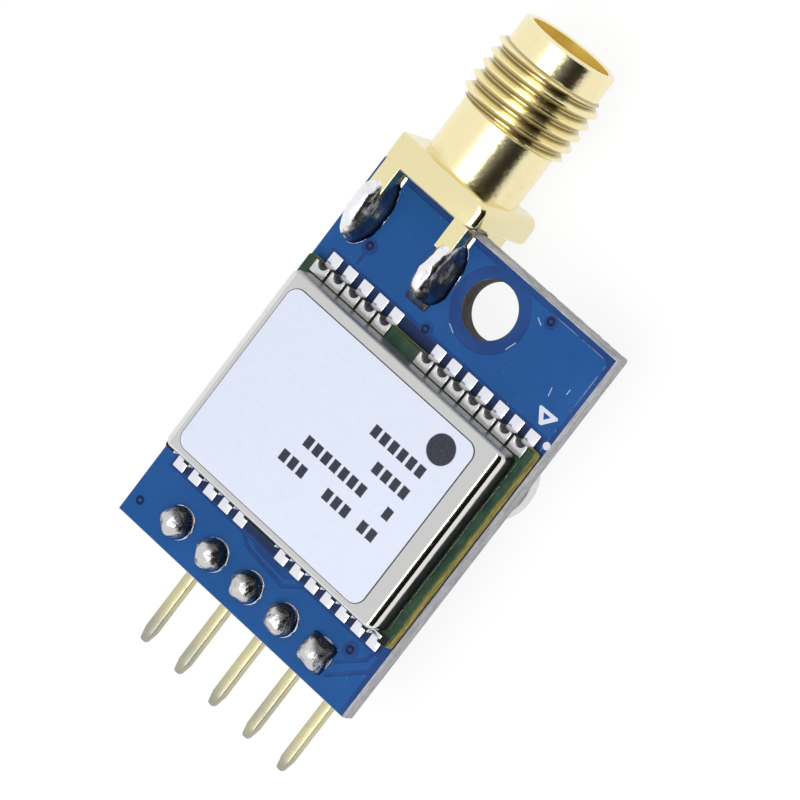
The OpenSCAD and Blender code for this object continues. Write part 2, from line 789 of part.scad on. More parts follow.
module regulator_body() {
    color([0.13, 0.13, 0.14]) place() translate([reg_x - reg_l / 2, reg_y, back_z])
        rotate([90, 0, 90]) linear_extrude(reg_l) polygon(body_side(reg_w, reg_h));
}

module regulator_leads() {
    color([0.80, 0.80, 0.82]) place()
        for (p = reg_feet)
            translate([reg_x + p[0] * lead_pitch, reg_y, back_z])
                rotate([0, 0, p[1] > 0 ? 0 : 180])
                    translate([-lead_w / 2, reg_w / 2, 0])
                        rotate([90, 0, 90]) linear_extrude(lead_w) polygon(lead_side(reg_h));
}

module capacitor_bodies() {
    color([0.62, 0.48, 0.32]) place()
        for (p = cap_places)
            back_slab(p, cap_l - 2 * end_l, cap_w, back_z, cap_h);
}

module capacitor_ends() {
    color([0.80, 0.80, 0.82]) place()
        for (p = cap_places)
            back_ends(p, cap_l, cap_w, cap_h);
}

module lamp_resistor() {
    color([0.12, 0.12, 0.13]) place()
        back_slab(res_place, small_l - 2 * end_l, small_w, back_z, res_h);
}

module lamp_resistor_ends() {
    color([0.80, 0.80, 0.82]) place() back_ends(res_place, small_l, small_w, res_h);
}

module feed_coil() {
    color([0.30, 0.32, 0.36]) place()
        back_slab(coil_place, small_l - 2 * end_l, small_w, back_z, coil_h);
}

module feed_coil_ends() {
    color([0.80, 0.80, 0.82]) place() back_ends(coil_place, small_l, small_w, coil_h);
}

module lamp_base() {
    color([0.90, 0.90, 0.86]) place()
        back_slab(lamp_place, small_l - 2 * end_l, small_w, back_z, lamp_base_h);
}

module lamp_ends() {
    color([0.82, 0.76, 0.52]) place() back_ends(lamp_place, small_l, small_w, lamp_base_h);
}

module lamp_lens() {
    color([0.93, 0.90, 0.82]) place()
        back_slab(lamp_place, small_l - 2 * end_l, small_w, back_z - lamp_base_h, lamp_lens_h);
}

module cell_diode() {
    color([0.13, 0.13, 0.14]) place()
        translate([diode_place[0], diode_place[1] - diode_w / 2, back_z]) rotate([90, 0, 180])
            linear_extrude(diode_w) polygon(body_side(diode_l, diode_h));
}

module cell_diode_leads() {
    color([0.80, 0.80, 0.82]) place()
        for (s = [0, 180])
            translate([diode_place[0], diode_place[1], back_z]) rotate([0, 0, s])
                translate([diode_l / 2, lead_w / 2, 0]) rotate([90, 0, 0]) linear_extrude(lead_w)
                    polygon(lead_side(diode_h));
}

carrier_board();
front_pads();
back_pads();
receiver_board();
edge_terminals();
notch_solder();
shield_can();
can_label();
receiver_chip();
oscillator();
band_filter();
clock_crystal();
module_passives();
jack_body();
jack_insulator();
jack_contact();
leg_solder_front_left();
leg_solder_front_right();
leg_solder_back_left();
leg_solder_back_right();
tail_solder();
header_block();
for (i = [1 : pin_count]) {
    header_pin(i);
    header_solder(i);
}
backup_cell();
cell_tab_cap();
cell_tab_case();
regulator_body();
regulator_leads();
capacitor_bodies();
capacitor_ends();
lamp_resistor();
lamp_resistor_ends();
feed_coil();
feed_coil_ends();
lamp_base();
lamp_lens();
lamp_ends();
cell_diode();
cell_diode_leads();
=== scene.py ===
"""Looks of a small satellite receiver board with a shielded receiver, an edge antenna jack and a bent header.

Sizes are board millimetres: X along the header, Y from the header end to the antenna end, Z up from the
board's front face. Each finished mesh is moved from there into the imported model's frame, in metres.
"""
from __future__ import annotations

import logging
import math
from dataclasses import dataclass
from enum import Enum
from functools import reduce
from typing import Any, Callable, ClassVar, Optional, Sequence, Union

import bmesh
import bpy
from mathutils import Matrix, Vector, noise


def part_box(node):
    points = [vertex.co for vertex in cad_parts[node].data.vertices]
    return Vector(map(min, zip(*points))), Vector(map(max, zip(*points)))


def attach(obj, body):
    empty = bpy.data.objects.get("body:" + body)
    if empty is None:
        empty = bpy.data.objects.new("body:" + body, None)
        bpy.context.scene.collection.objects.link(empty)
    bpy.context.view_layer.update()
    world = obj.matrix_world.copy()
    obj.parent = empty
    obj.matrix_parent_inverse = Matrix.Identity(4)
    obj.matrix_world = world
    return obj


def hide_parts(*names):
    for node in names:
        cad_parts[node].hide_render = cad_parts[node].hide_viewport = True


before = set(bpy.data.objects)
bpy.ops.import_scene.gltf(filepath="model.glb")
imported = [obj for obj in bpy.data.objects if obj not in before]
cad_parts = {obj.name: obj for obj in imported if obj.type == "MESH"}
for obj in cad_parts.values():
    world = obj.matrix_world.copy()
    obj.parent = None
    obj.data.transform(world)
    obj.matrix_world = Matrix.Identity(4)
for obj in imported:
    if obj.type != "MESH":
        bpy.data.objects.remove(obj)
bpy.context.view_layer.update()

LOG = logging.getLogger("receiver_board")
MM = 0.001
BODY = "root"
BOARD_LOW, BOARD_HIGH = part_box("carrier_board")
# Header-end left corner of the board's front face
CORNER = Vector((BOARD_LOW.x, BOARD_LOW.y, BOARD_HIGH.z))
TO_MODEL = Matrix.Translation(CORNER) @ Matrix.Scale(MM, 4)

# Places that shapes and finishes share
BOARD_THICK = 1.2
BACK_PAD_Z = -1.25
HOLE = (9.45, 20.05)
JACK_X, JACK_Z = 3.55, -1.975
PIN_FIRST, PIN_PITCH, PIN_ROW = 3.12, 2.54, 1.575

Spot = tuple[float, float]
Point = Sequence[float]
Ring = Sequence[Point]
Colour = tuple[float, float, float]
Number = Union["Sock", float, int]


class Side(Enum):
    """The two faces of the board."""

    FRONT = 1
    BACK = -1


class Row(Enum):
    """The receiver's two rows of terminals: how far their plates reach in, and how far they stand back."""

    ANTENNA = (0.68, 0.0)
    HEADER = (0.40, 0.18)


# Scene helpers


def add_object(name: str, data: bpy.types.ID) -> bpy.types.Object:
    """Adds an object to the scene.

    Args:
        name: its name.
        data: its mesh, camera or lamp.

    Returns:
        The new object.
    """
    made = bpy.data.objects.new(name, data)
    bpy.context.scene.collection.objects.link(made)
    return made


def emptied(owner: Union[bpy.types.Material, bpy.types.World]) -> bpy.types.NodeTree:
    """Clears the node tree of a material or world.

    Args:
        owner: the material or world.

    Returns:
        Its tree, with no nodes in it.
    """
    owner.use_nodes = True
    owner.node_tree.nodes.clear()
    return owner.node_tree


# Node trees


def maths(operation: str, swapped: bool = False) -> Callable[..., "Sock"]:
    """Makes a method of Sock that adds one Math node.

    Args:
        operation: what the Math node does.
        swapped: puts the other value first, as a reflected operator does.

    Returns:
        The method.
    """

    def method(self: "Sock", *others: Number) -> "Sock":
        """Adds the Math node for this socket and the other values."""
        return self.tree.math(operation, *((*others, self) if swapped else (self, *others)))

    return method


class Sock:
    """An output socket that takes part in Python arithmetic."""

    def __init__(self, tree: "Tree", socket: bpy.types.NodeSocket) -> None:
        """Keeps the socket and the tree that it belongs to."""
        self.tree = tree
        self.socket = socket

    __add__ = __radd__ = maths("ADD")
    __mul__ = __rmul__ = maths("MULTIPLY")
    __sub__, __rsub__ = maths("SUBTRACT"), maths("SUBTRACT", True)
    __truediv__, __rtruediv__ = maths("DIVIDE"), maths("DIVIDE", True)
    __pow__ = maths("POWER")
    __abs__ = maths("ABSOLUTE")
    __gt__, __lt__ = maths("GREATER_THAN"), maths("LESS_THAN")
    low, high = maths("MINIMUM"), maths("MAXIMUM")
    root, floor, fract = maths("SQRT"), maths("FLOOR"), maths("FRACT")
    sine, cosine = maths("SINE"), maths("COSINE")

    def rise(self, start: float, end: float) -> "Sock":
        """Goes smoothly from 0 to 1.

        Args:
            start: where it is still 0; it may be the greater of the two.
            end: where it reaches 1.

        Returns:
            The share between the two.
        """
        settings = {"interpolation_type": "SMOOTHSTEP"}
        low, high = sorted((start, end))
        share = self.tree.get("ShaderNodeMapRange", settings, {0: self, 1: low, 2: high})
        return 1 - share if start > end else share


class Tree:
    """A node tree that is filled by calls and expressions."""

    def __init__(self, data: bpy.types.NodeTree) -> None:
        """Keeps Blender's tree."""
        self.data = data

    def node(
        self, kind: str, settings: Optional[dict] = None, sockets: Optional[dict] = None,
    ) -> bpy.types.Node:
        """Adds a node.

        Args:
            kind: Blender's name of the node type.
            settings: the node's own properties, set first.
            sockets: values or links of its inputs, by name or number.

        Returns:
            The new node.
        """
        made = self.data.nodes.new(kind)
        for key, value in (settings or {}).items():
            setattr(made, key, value)
        for key, value in (sockets or {}).items():
            self.feed(made.inputs[key], value)
        return made

    def feed(self, socket: bpy.types.NodeSocket, value: Any) -> None:
        """Links a Sock to a socket, or sets the socket's own value.

        Args:
            socket: the input.
            value: a Sock, a number, a vector, a colour or a data block.
        """
        if isinstance(value, Sock):
            self.data.links.new(value.socket, socket)
        elif socket.type == "RGBA":
            socket.default_value = (*value, 1.0)[:4]
        else:
            socket.default_value = value

    def outs(self, made: bpy.types.Node, *keys: Union[int, str]) -> list[Sock]:
        """Outputs of a node, by name or number."""
        return [Sock(self, made.outputs[key]) for key in keys]

    def get(
        self, kind: str, settings: Optional[dict] = None, sockets: Optional[dict] = None,
        out: Union[int, str] = 0,
    ) -> Sock:
        """Adds a node and returns one of its outputs."""
        return self.outs(self.node(kind, settings, sockets), out)[0]

    def math(self, operation: str, *values: Number) -> Sock:
        """Adds a Math node for one operation on its values."""
        return self.get("ShaderNodeMath", {"operation": operation}, dict(enumerate(values)))

    def xyz(self, x: Number, y: Number, z: Number) -> Sock:
        """Joins three numbers into a vector."""
        return self.get("ShaderNodeCombineXYZ", None, {0: x, 1: y, 2: z})


class Paint(Tree):
    """One material's tree: a Principled shader, board coordinates and the tools that finishes share."""

    # Sockets of a Mix node that mixes colours
    SHARE, FIRST, SECOND, MIXED = 0, 6, 7, 2

    def __init__(self, name: str) -> None:
        """Makes the material with its shader and its coordinates in board millimetres.

        Args:
            name: the material's name.
        """
        self.material = bpy.data.materials.new(name)
        super().__init__(emptied(self.material))
        self.shader = self.node("ShaderNodeBsdfPrincipled")
        self.node("ShaderNodeOutputMaterial", None, {"Surface": self.outs(self.shader, 0)[0]})
        self.point = self.get("ShaderNodeMapping", None, {
            "Vector": self.get("ShaderNodeTexCoord", out="Object"),
            "Location": tuple(-CORNER / MM), "Scale": (1 / MM,) * 3,
        })
        self.x, self.y, self.z = self.outs(self.node("ShaderNodeSeparateXYZ", None, {0: self.point}), 0, 1, 2)

    def noise(self, scale: float, detail: float = 2.0, stretch: Colour = (1, 1, 1), rough: float = 0.5) -> Sock:
        """Cloudy noise.

        Args:
            scale: spots for each millimetre.
            detail: finer layers.
            stretch: how much denser it is along each axis.
            rough: weight of the finer layers.

        Returns:
            A value around one half.
        """
        at = self.get("ShaderNodeVectorMath", {"operation": "MULTIPLY"}, {0: self.point, 1: stretch})
        return self.get("ShaderNodeTexNoise", None, {
            "Vector": at, "Scale": scale, "Detail": detail, "Roughness": rough,
        })

    def sway(self, scale: float, detail: float, reach: float) -> Sock:
        """Noise that swings about nought, over a reach."""
        return (self.noise(scale, detail) - 0.5) * reach

    def mix(self, share: Number, first: Any, second: Any) -> Sock:
        """Mixes two colours by a share of the second."""
        sockets = {self.SHARE: share, self.FIRST: first, self.SECOND: second}
        return self.get("ShaderNodeMix", {"data_type": "RGBA"}, sockets, self.MIXED)

    def bump(self, height: Sock, depth: float, under: Optional[Sock] = None) -> Sock:
        """Relief.

        Args:
            height: height from 0 to 1.
            depth: height of 1, in millimetres.
            under: relief to build on.

        Returns:
            The bent normal.
        """
        sockets = {"Height": height, "Distance": depth * MM, "Strength": 1.0}
        if under is not None:
            sockets["Normal"] = under
        return self.get("ShaderNodeBump", None, sockets)

    def set(self, **sockets: Any) -> None:
        """Feeds the shader; an underscore in a name stands for a space."""
        for key, value in sockets.items():
            self.feed(self.shader.inputs[key.replace("_", " ")], value)

    def disc(self, x: float, y: float, r: float) -> Sock:
        """Distance outside a circle."""
        return ((self.x - x) ** 2 + (self.y - y) ** 2).root() - r

    def panel(self, x0: float, y0: float, x1: float, y1: float, r: float) -> Sock:
        """Distance outside a rectangle with round corners.

        Args:
            x0, y0: its low corner.
            x1, y1: its high corner.
            r: corner radius.

        Returns:
            The distance, below nought inside.
        """
        across = abs(self.x - (x0 + x1) / 2) - ((x1 - x0) / 2 - r)
        along = abs(self.y - (y0 + y1) / 2) - ((y1 - y0) / 2 - r)
        outside = (across.high(0) ** 2 + along.high(0) ** 2).root()
        return outside + across.high(along).low(0) - r

    def stroke(self, path: Sequence[Spot]) -> Sock:
        """Distance from a line through several places.

        Args:
            path: the places in order.

        Returns:
            The distance from the nearest part of the line.
        """
        gaps = []
        for (ax, ay), (bx, by) in zip(path, path[1:]):
            dx, dy = bx - ax, by - ay
            share = ((self.x - ax) * dx + (self.y - ay) * dy) / (dx * dx + dy * dy)
            share = share.high(0).low(1)
            gaps.append(((self.x - ax - share * dx) ** 2 + (self.y - ay - share * dy) ** 2).root())
        return reduce(Sock.low, gaps)


class Recipe(Tree):
    """A geometry node tree with named sizes that makes one plain mesh, in board millimetres."""

    KINDS: ClassVar[dict] = {
        int: "NodeSocketInt", float: "NodeSocketFloat", bpy.types.Object: "NodeSocketObject",
    }

    def __init__(self, name: str, sizes: dict[str, Any]) -> None:
        """Makes the tree.

        Args:
            name: what it makes.
            sizes: its named inputs, with the value that each one gets.
        """
        super().__init__(bpy.data.node_groups.new(name, "GeometryNodeTree"))
        self.sizes = sizes
        face = self.data.interface
        face.new_socket("Mesh", in_out="OUTPUT", socket_type="NodeSocketGeometry")
        for key, value in sizes.items():
            face.new_socket(key, in_out="INPUT", socket_type=self.KINDS[type(value)])
        self.start = self.node("NodeGroupInput")
        self.stop = self.node("NodeGroupOutput")

    def size(self, name: str) -> Sock:
        """One of the named inputs."""
        return self.outs(self.start, name)[0]

    def unit(self, name: str) -> Sock:
        """The mesh of an object that is a named input."""
        return self.get("GeometryNodeObjectInfo", None, {"Object": self.size(name)}, "Geometry")

    def line(self, count: Number, start: Sock, offset: Sock) -> Sock:
        """Points in a row."""
        sockets = {"Count": count, "Start Location": start, "Offset": offset}
        return self.get("GeometryNodeMeshLine", {"mode": "OFFSET"}, sockets)

    def copies(self, points: Sock, unit: Sock, turn: float = 0.0) -> Sock:
        """One copy of a mesh at each point, turned about Z."""
        sockets = {"Points": points, "Instance": unit, "Rotation": (0.0, 0.0, turn)}
        return self.get("GeometryNodeInstanceOnPoints", None, sockets)

    def join(self, parts: Sequence[Sock]) -> Sock:
        """Several meshes as one.

        Args:
            parts: the meshes.

        Returns:
            The joined mesh.
        """
        made = self.node("GeometryNodeJoinGeometry")
        for part in parts:
            self.data.links.new(part.socket, made.inputs[0])
        return self.outs(made, 0)[0]

    def run(self, shape: Sock, finish: "Finish") -> bpy.types.Mesh:
        """Ends the tree and makes its mesh.

        Args:
            shape: what the tree has made.
            finish: the finish of all its faces.

        Returns:
            A plain mesh.
        """
        real = self.get("GeometryNodeRealizeInstances", None, {0: shape})
        done = self.get("GeometryNodeSetMaterial", None, {"Geometry": real, "Material": finish.material()})
        self.feed(self.stop.inputs[0], done)
        holder = add_object(self.data.name, bpy.data.meshes.new(self.data.name))
        modifier = holder.modifiers.new("recipe", "NODES")
        modifier.node_group = self.data
        for item in self.data.interface.items_tree:
            if item.in_out == "INPUT":
                modifier[item.identifier] = self.sizes[item.name]
        graph = bpy.context.evaluated_depsgraph_get()
        mesh = bpy.data.meshes.new_from_object(holder.evaluated_get(graph))
        if mesh.materials[0] is None:
            mesh.materials.pop(index=0)
        for helper in (holder, *self.sizes.values()):
            if isinstance(helper, bpy.types.Object):
                bpy.data.objects.remove(helper)
        return mesh


# Finishes


@dataclass(frozen=True)
class Finish:
    """A finish with a name; each kind writes its own nodes."""

    name: str
    made: ClassVar[dict[str, bpy.types.Material]] = {}

    def material(self) -> bpy.types.Material:
        """Makes the Blender material at its first use.

        Returns:
            The material.
        """
        if self.name not in Finish.made:
            paint = Paint(self.name)
            self.dress(paint)
            Finish.made[self.name] = paint.material
        return Finish.made[self.name]

    def dress(self, paint: Paint) -> None:
        """Writes the finish's nodes."""
        raise NotImplementedError


Place = Callable[[Paint], Sock]


@dataclass(frozen=True)
class SolderMask(Finish):
    """Glossy lacquer over copper, darker where there is no copper under it, with painted shade and painted
    highlights.
    """

    copper: Colour
    bare: Colour
    pour: Place
    scuffs_and_glint: Place
    painted_shade: Optional[Place] = None
    roughness: float = 0.42
    # Colour of the scuffs and of the painted highlight.
    wear_and_glint: Colour = (0.62, 0.70, 0.86)
    # Colour of the painted shade between the pads.
    gap: Colour = (0.016, 0.020, 0.052)

    def dress(self, paint: Paint) -> None:
        """Copper areas as relief and colour, faint dust, a few scuffs, a painted highlight and painted shade.

        Args:
            paint: the material to fill.
        """
        metal = self.pour(paint)
        cloud = paint.noise(0.35, 3.0)
        weave = paint.noise(5.0, 2.0)
        scuff_and_glint = self.scuffs_and_glint(paint)
        lacquer = paint.mix(metal, self.bare, self.copper)
        pale = tuple(min(1.0, c * 1.35 + 0.012) for c in self.copper)
        lacquer = paint.mix(cloud.rise(0.42, 0.72) * 0.3, lacquer, pale)
        lacquer = paint.mix(weave.rise(0.55, 0.75) * 0.10, lacquer, pale)
        # Painted shade in the gaps between the receiver's pads.
        if self.painted_shade:
            lacquer = paint.mix(self.painted_shade(paint) * 0.7, lacquer, self.gap)
        dust = paint.noise(9.0, 0.0).rise(0.80, 0.86) * paint.noise(1.1, 1.0).rise(0.5, 0.65)
        lacquer = paint.mix((scuff_and_glint * 0.75).high(dust * 0.35), lacquer, self.wear_and_glint)
        paint.set(
            Base_Color=lacquer, Roughness=self.roughness + cloud.rise(0.3, 0.7) * 0.08 + scuff_and_glint * 0.2,
            Normal=paint.bump(weave, 0.0016, paint.bump(metal, 0.030)), Specular_IOR_Level=0.14,
        )


@dataclass(frozen=True)
class CutLaminate(Finish):
    """The cut edge of a glass-fibre board, with its layers and torn fibres."""

    pale: Colour
    dark: Colour
    depth: float = 0.05
    over: Optional[Colour] = None

    def dress(self, paint: Paint) -> None:
        """Thin layers along the edge, broken by fibres; lacquer from above may run into it.

        Args:
            paint: the material to fill.
        """
        layers = paint.noise(1.5, 4.0, (0.5, 0.5, 5.0), 0.6)
        fibre = paint.noise(3.0, 4.0, (1.0, 1.0, 2.0), 0.7)
        grain = paint.noise(9.0, 3.0)
        share = layers.rise(0.32, 0.68) * 0.7 + fibre.rise(0.35, 0.7) * 0.4 - 0.05
        colour = paint.mix(share.high(0).low(1), self.dark, self.pale)
        if self.over:
            colour = paint.mix((paint.z + (fibre - 0.5) * 0.8).rise(0.48, 0.84), colour, self.over)
        paint.set(
            Base_Color=colour, Roughness=0.62 + grain * 0.3,
            Normal=paint.bump(fibre * 0.6 + grain * 0.4, self.depth), Specular_IOR_Level=0.25,
        )


@dataclass(frozen=True)
class Metal(Finish):
    """Bare or plated metal with fine grain, soft waviness, dull spots, stains and, on solder and the can's
    wall, painted shade.

    Attributes:
        tint, shade: colours of the metal, and of its dull spots and its painted shade.
        sheen: least and greatest roughness.
        grain, depth, stretch: scale, height and stretch of the fine grain.
        wave: height of slow waves.
        spots: how much the spots soil it.
        body: how metallic it is.
        shade_heights: heights at which painted shade covers it fully and not at all.
        dull: roughness that the spots and the painted shade add.
        haze_and_shade: where it is dull and painted darker all over.
        stain_and_shade: where the second colour covers it: tarnish on pins, painted shade on solder, terminals
            and the can.
        stain_and_shade_colour: colour of the tarnish and of the painted shade.
    """

    tint: Colour
    shade: Colour
    sheen: tuple[float, float]
    grain: float = 6.0
    depth: float = 0.003
    stretch: Colour = (1, 1, 1)
    wave: float = 0.0
    spots: float = 0.25
    body: float = 1.0
    shade_heights: Optional[tuple[float, float]] = None
    dull: float = 0.0
    haze_and_shade: Optional[Place] = None
    stain_and_shade: Optional[Place] = None
    stain_and_shade_colour: Colour = (0.020, 0.019, 0.022)

    def dress(self, paint: Paint) -> None:
        """Grain and waves as relief, spots as duller and darker places, stains and painted shade over all.

        Args:
            paint: the material to fill.
        """
        fine = paint.noise(self.grain, 3.0, self.stretch)
        slow = paint.noise(0.8, 2.0)
        spot = paint.noise(2.3, 3.0).rise(0.58, 0.74)
        smooth, spread = self.sheen[0], self.sheen[1] - self.sheen[0]
        relief = paint.bump(fine, self.depth)
        if self.wave:
            relief = paint.bump(paint.noise(1.7, 1.5), self.wave, relief)
        soil_and_shade = (spot * self.spots + slow.rise(0.55, 0.8) * self.spots * 0.6).low(1)
        # Painted shade by height, its edge broken by slow noise.
        if self.shade_heights:
            shaded_z, unshaded_z = self.shade_heights
            soil_and_shade = soil_and_shade.high((paint.z + (slow - 0.5) * abs(unshaded_z - shaded_z)).rise(unshaded_z, shaded_z))
        if self.haze_and_shade:
            soil_and_shade = soil_and_shade.high(self.haze_and_shade(paint))
        colour = paint.mix(soil_and_shade, self.tint, self.shade)
        # Tarnish on some finishes, painted shade on others.
        if self.stain_and_shade:
            colour = paint.mix(self.stain_and_shade(paint), colour, self.stain_and_shade_colour)
        paint.set(
            Base_Color=colour, Normal=relief, Metallic=self.body,
            Roughness=smooth + fine * spread * 0.6 + spot * spread * 0.5 + soil_and_shade * self.dull,
        )


@dataclass(frozen=True)
class Paper(Finish):
    """A matt label with a round dark mark and rows of plain bars.

    Attributes:
        paper, ink: its colours.
        dot: place and radius of the round mark.
        rows: Y, start and end of each row of bars.
        bar_h: height of a bar.
        cell: length along the row for each bar.
        skipped: share of bars that are left out.
    """

    paper: Colour
    ink: Colour
    dot: tuple[float, float, float]
    rows: Sequence[tuple[float, float, float]]
    bar_h: float = 0.62
    cell: float = 0.62
    skipped: float = 0.16

    def dress(self, paint: Paint) -> None:
        """Paper with faint fibres, and print with slightly ragged edges.

        Args:
            paint: the material to fill.
        """
        fibre = paint.noise(3.0, 4.0)
        ragged = paint.sway(11.0, 2.0, 0.05)
        printed = (paint.disc(*self.dot) + ragged).rise(0.03, -0.03)
        number = (paint.x / self.cell).floor()
        across = (abs((paint.x / self.cell).fract() - 0.5) - 0.36) * self.cell
        for row, (y, x0, x1) in enumerate(self.rows):
            chance = paint.get("ShaderNodeTexWhiteNoise", {"noise_dimensions": "2D"}, {
                "Vector": paint.xyz(number, row * 7.0 + 3.0, 0.0),
            })
            within = (number > x0 / self.cell - 0.5) * (number < x1 / self.cell - 0.5)
            gap = across.high(abs(paint.y - y) - self.bar_h / 2)
            printed = printed.high((gap + ragged).rise(0.02, -0.02) * (chance > self.skipped) * within)
        speckle = paint.noise(16.0, 2.0).rise(0.45, 0.72)
        ink = paint.mix(speckle * 0.5, self.ink, tuple(c * 2.2 + 0.02 for c in self.ink))
        sheet = paint.mix(fibre.rise(0.3, 0.75) * 0.5, self.paper, tuple(c * 0.95 for c in self.paper))
        paint.set(
            Base_Color=paint.mix(printed, sheet, ink), Roughness=0.58 - printed * 0.1 + fibre * 0.1,
            Normal=paint.bump(fibre, 0.002), Specular_IOR_Level=0.3,
        )


@dataclass(frozen=True)
class Moulding(Finish):
    """Moulded plastic, ceramic or ink: a colour with grain, mottling and a satin skin."""

    tint: Colour
    fleck: Colour
    roughness: float
    grain: float = 8.0
    depth: float = 0.004
    coat: float = 0.0
    gloss: float = 0.5

    def dress(self, paint: Paint) -> None:
        """Mottled colour over a grained skin.

        Args:
            paint: the material to fill.
        """
        fine = paint.noise(self.grain, 2.0)
        patch = paint.noise(1.6, 3.0)
        flecks = fine.rise(0.5, 0.75) * 0.45 + patch.rise(0.45, 0.7) * 0.35
        paint.set(
            Base_Color=paint.mix(flecks, self.tint, self.fleck), Roughness=self.roughness + patch * 0.12 - 0.06,
            Normal=paint.bump(fine, self.depth), Coat_Weight=self.coat, Coat_Roughness=0.12,
            Specular_IOR_Level=self.gloss,
        )


@dataclass(frozen=True)
class ModuleMask(Finish):
    """Green lacquer of the receiver's own board, made nearly black by painted shade beyond its rows of
    terminals.

    Attributes:
        tint, dark: colours of the lacquer.
        rows: Y past which painted shade makes it black at the header end and at the antenna end.
        groups: start and end along X of the terminals at the antenna end.
        slot: the black of the painted shade.
    """

    tint: Colour
    dark: Colour
    rows: tuple[float, float]
    groups: Sequence[tuple[float, float]]
    slot: Colour = (0.005, 0.007, 0.007)

    def dress(self, paint: Paint) -> None:
        """Mottled lacquer with a fine skin, and painted shade in the slots between the terminals.

        Args:
            paint: the material to fill.
        """
        cloud = paint.noise(1.1, 3.0)
        skin = paint.noise(5.0, 3.0)
        low, high = self.rows
        beyond = paint.y.rise(high - 0.1, high + 0.1)
        slot_shade = paint.y.rise(low + 0.1, low - 0.1)
        for x0, x1 in self.groups:
            middle, half = (x0 + x1) / 2, (x1 - x0) / 2
            slot_shade = slot_shade.high(abs(paint.x - middle).rise(half + 0.05, half - 0.05) * beyond)
        colour = paint.mix(cloud.rise(0.35, 0.7), self.dark, self.tint)
        paint.set(
            Base_Color=paint.mix(slot_shade * 0.94, colour, self.slot), Roughness=0.36 + cloud * 0.2 + slot_shade * 0.3,
            Normal=paint.bump(skin, 0.004), Specular_IOR_Level=0.25,
        )


# Where copper, scratches, stains, painted highlights and painted shade are

COPPER_EDGE = (-2.0, -2.0, 16.05, 21.98, 0.3)
HOLE_CLEAR_R = 2.2
FRONT_TRACKS: Sequence[Sequence[Spot]] = (
    ((6.1, 3.5), (6.86, 3.05), (9.57, 2.78), (10.4, 3.4)),
    ((6.55, 4.1), (7.3, 3.34), (9.4, 3.24), (10.2, 3.75)),
    ((14.3, 1.0), (16.0, 2.6), (16.05, 3.9)),
    ((14.3, 1.85), (15.5, 2.95), (15.6, 3.7)),
    ((2.29, 18.45), (2.29, 17.4)),
)
BACK_TRACKS: Sequence[Sequence[Spot]] = (
    ((3.12, 1.6), (3.12, 4.6), (3.45, 6.0)),
    ((5.66, 1.6), (5.66, 4.0), (8.4, 4.6)),
    ((10.74, 1.6), (11.8, 2.8), (11.8, 4.6)),
    ((5.35, 8.6), (7.2, 9.4), (8.2, 10.4)),
    ((9.9, 7.2), (12.4, 8.0), (13.85, 10.3)),
    ((10.3, 13.7), (11.4, 13.7), (11.8, 16.2), (13.4, 17.2)),
    ((4.4, 16.2), (6.6, 15.4), (7.0, 13.9)),
)
FRONT_SCRATCHES: Sequence[Sequence[Spot]] = (
    ((8.18, 18.2), (8.62, 17.98)), ((11.36, 19.09), (11.57, 19.65)), ((14.51, 19.19), (14.61, 18.79)),
    ((15.33, 19.71), (15.32, 19.44)), ((11.7, 21.33), (12.05, 21.15)),
)
BACK_SCRATCHES: Sequence[Sequence[Spot]] = (((6.0, 12.1), (8.2, 11.7)), ((12.2, 19.2), (13.4, 20.1)))


def board_copper(paint: Paint) -> Sock:
    """One inside the board's rim and clear of the mounting hole."""
    inside = paint.panel(*COPPER_EDGE).rise(0.02, -0.05)
    return inside * paint.disc(*HOLE, HOLE_CLEAR_R).rise(-0.04, 0.04)


def front_pour(paint: Paint) -> Sock:
    """Copper under the front lacquer.

    Args:
        paint: the material's tree.

    Returns:
        One where there is copper.
    """
    copper = board_copper(paint)
    for y in (3.85, 16.75):
        copper = copper * paint.panel(0.75, y - 0.42, 15.95, y + 0.42, 0.1).rise(-0.03, 0.04)
    for path in FRONT_TRACKS:
        copper = copper * paint.stroke(path).rise(0.06, 0.13)
    for x, y, r in ((7.34, 17.2, 0.4), (12.37, 21.6, 0.36), (14.51, 2.76, 0.45), (2.29, 18.45, 0.42)):
        copper = copper * paint.disc(x, y, r).rise(-0.04, 0.06)
    return copper


def back_pour(paint: Paint) -> Sock:
    """Copper under the back lacquer, with a gap on both sides of each track.

    Args:
        paint: the material's tree.

    Returns:
        One where there is copper.
    """
    copper = board_copper(paint) * paint.panel(2.6, 15.2, 4.5, 22.3, 0.3).rise(-0.03, 0.04)
    for path in BACK_TRACKS:
        copper = copper * abs(paint.stroke(path) - 0.22).rise(0.05, 0.11)
    return copper


def pad_gap_shade(paint: Paint) -> Sock:
    """Painted shade: one in the narrow gaps between the receiver's pads."""
    rows = (paint.panel(0.9, low, 15.85, low + 0.82, 0.1).rise(0.06, -0.10) for low in (16.2, 3.58))
    return reduce(Sock.high, rows)


def front_scuffs_and_glint(paint: Paint) -> Sock:
    """Short scratches on the front lacquer, and a painted highlight on the rim of its copper at the antenna
    end.

    Args:
        paint: the material's tree.

    Returns:
        One on a scratch, and a share on the painted highlight.
    """
    marks = reduce(Sock.low, map(paint.stroke, FRONT_SCRATCHES)).rise(0.035, 0.012)
    rim_glint = abs(paint.panel(-2.0, -2.0, 16.03, 21.96, 0.3)).rise(0.035, 0.010)
    wear_and_glint = paint.noise(1.3, 2.0).rise(0.40, 0.58) * paint.y.rise(15.2, 15.9) * paint.x.rise(12.2, 13.0)
    return marks.high(rim_glint * wear_and_glint * 0.55)


def back_scuffs(paint: Paint) -> Sock:
    """One on two long faint scratches on the back lacquer."""
    return reduce(Sock.low, map(paint.stroke, BACK_SCRATCHES)).rise(0.03, 0.01)


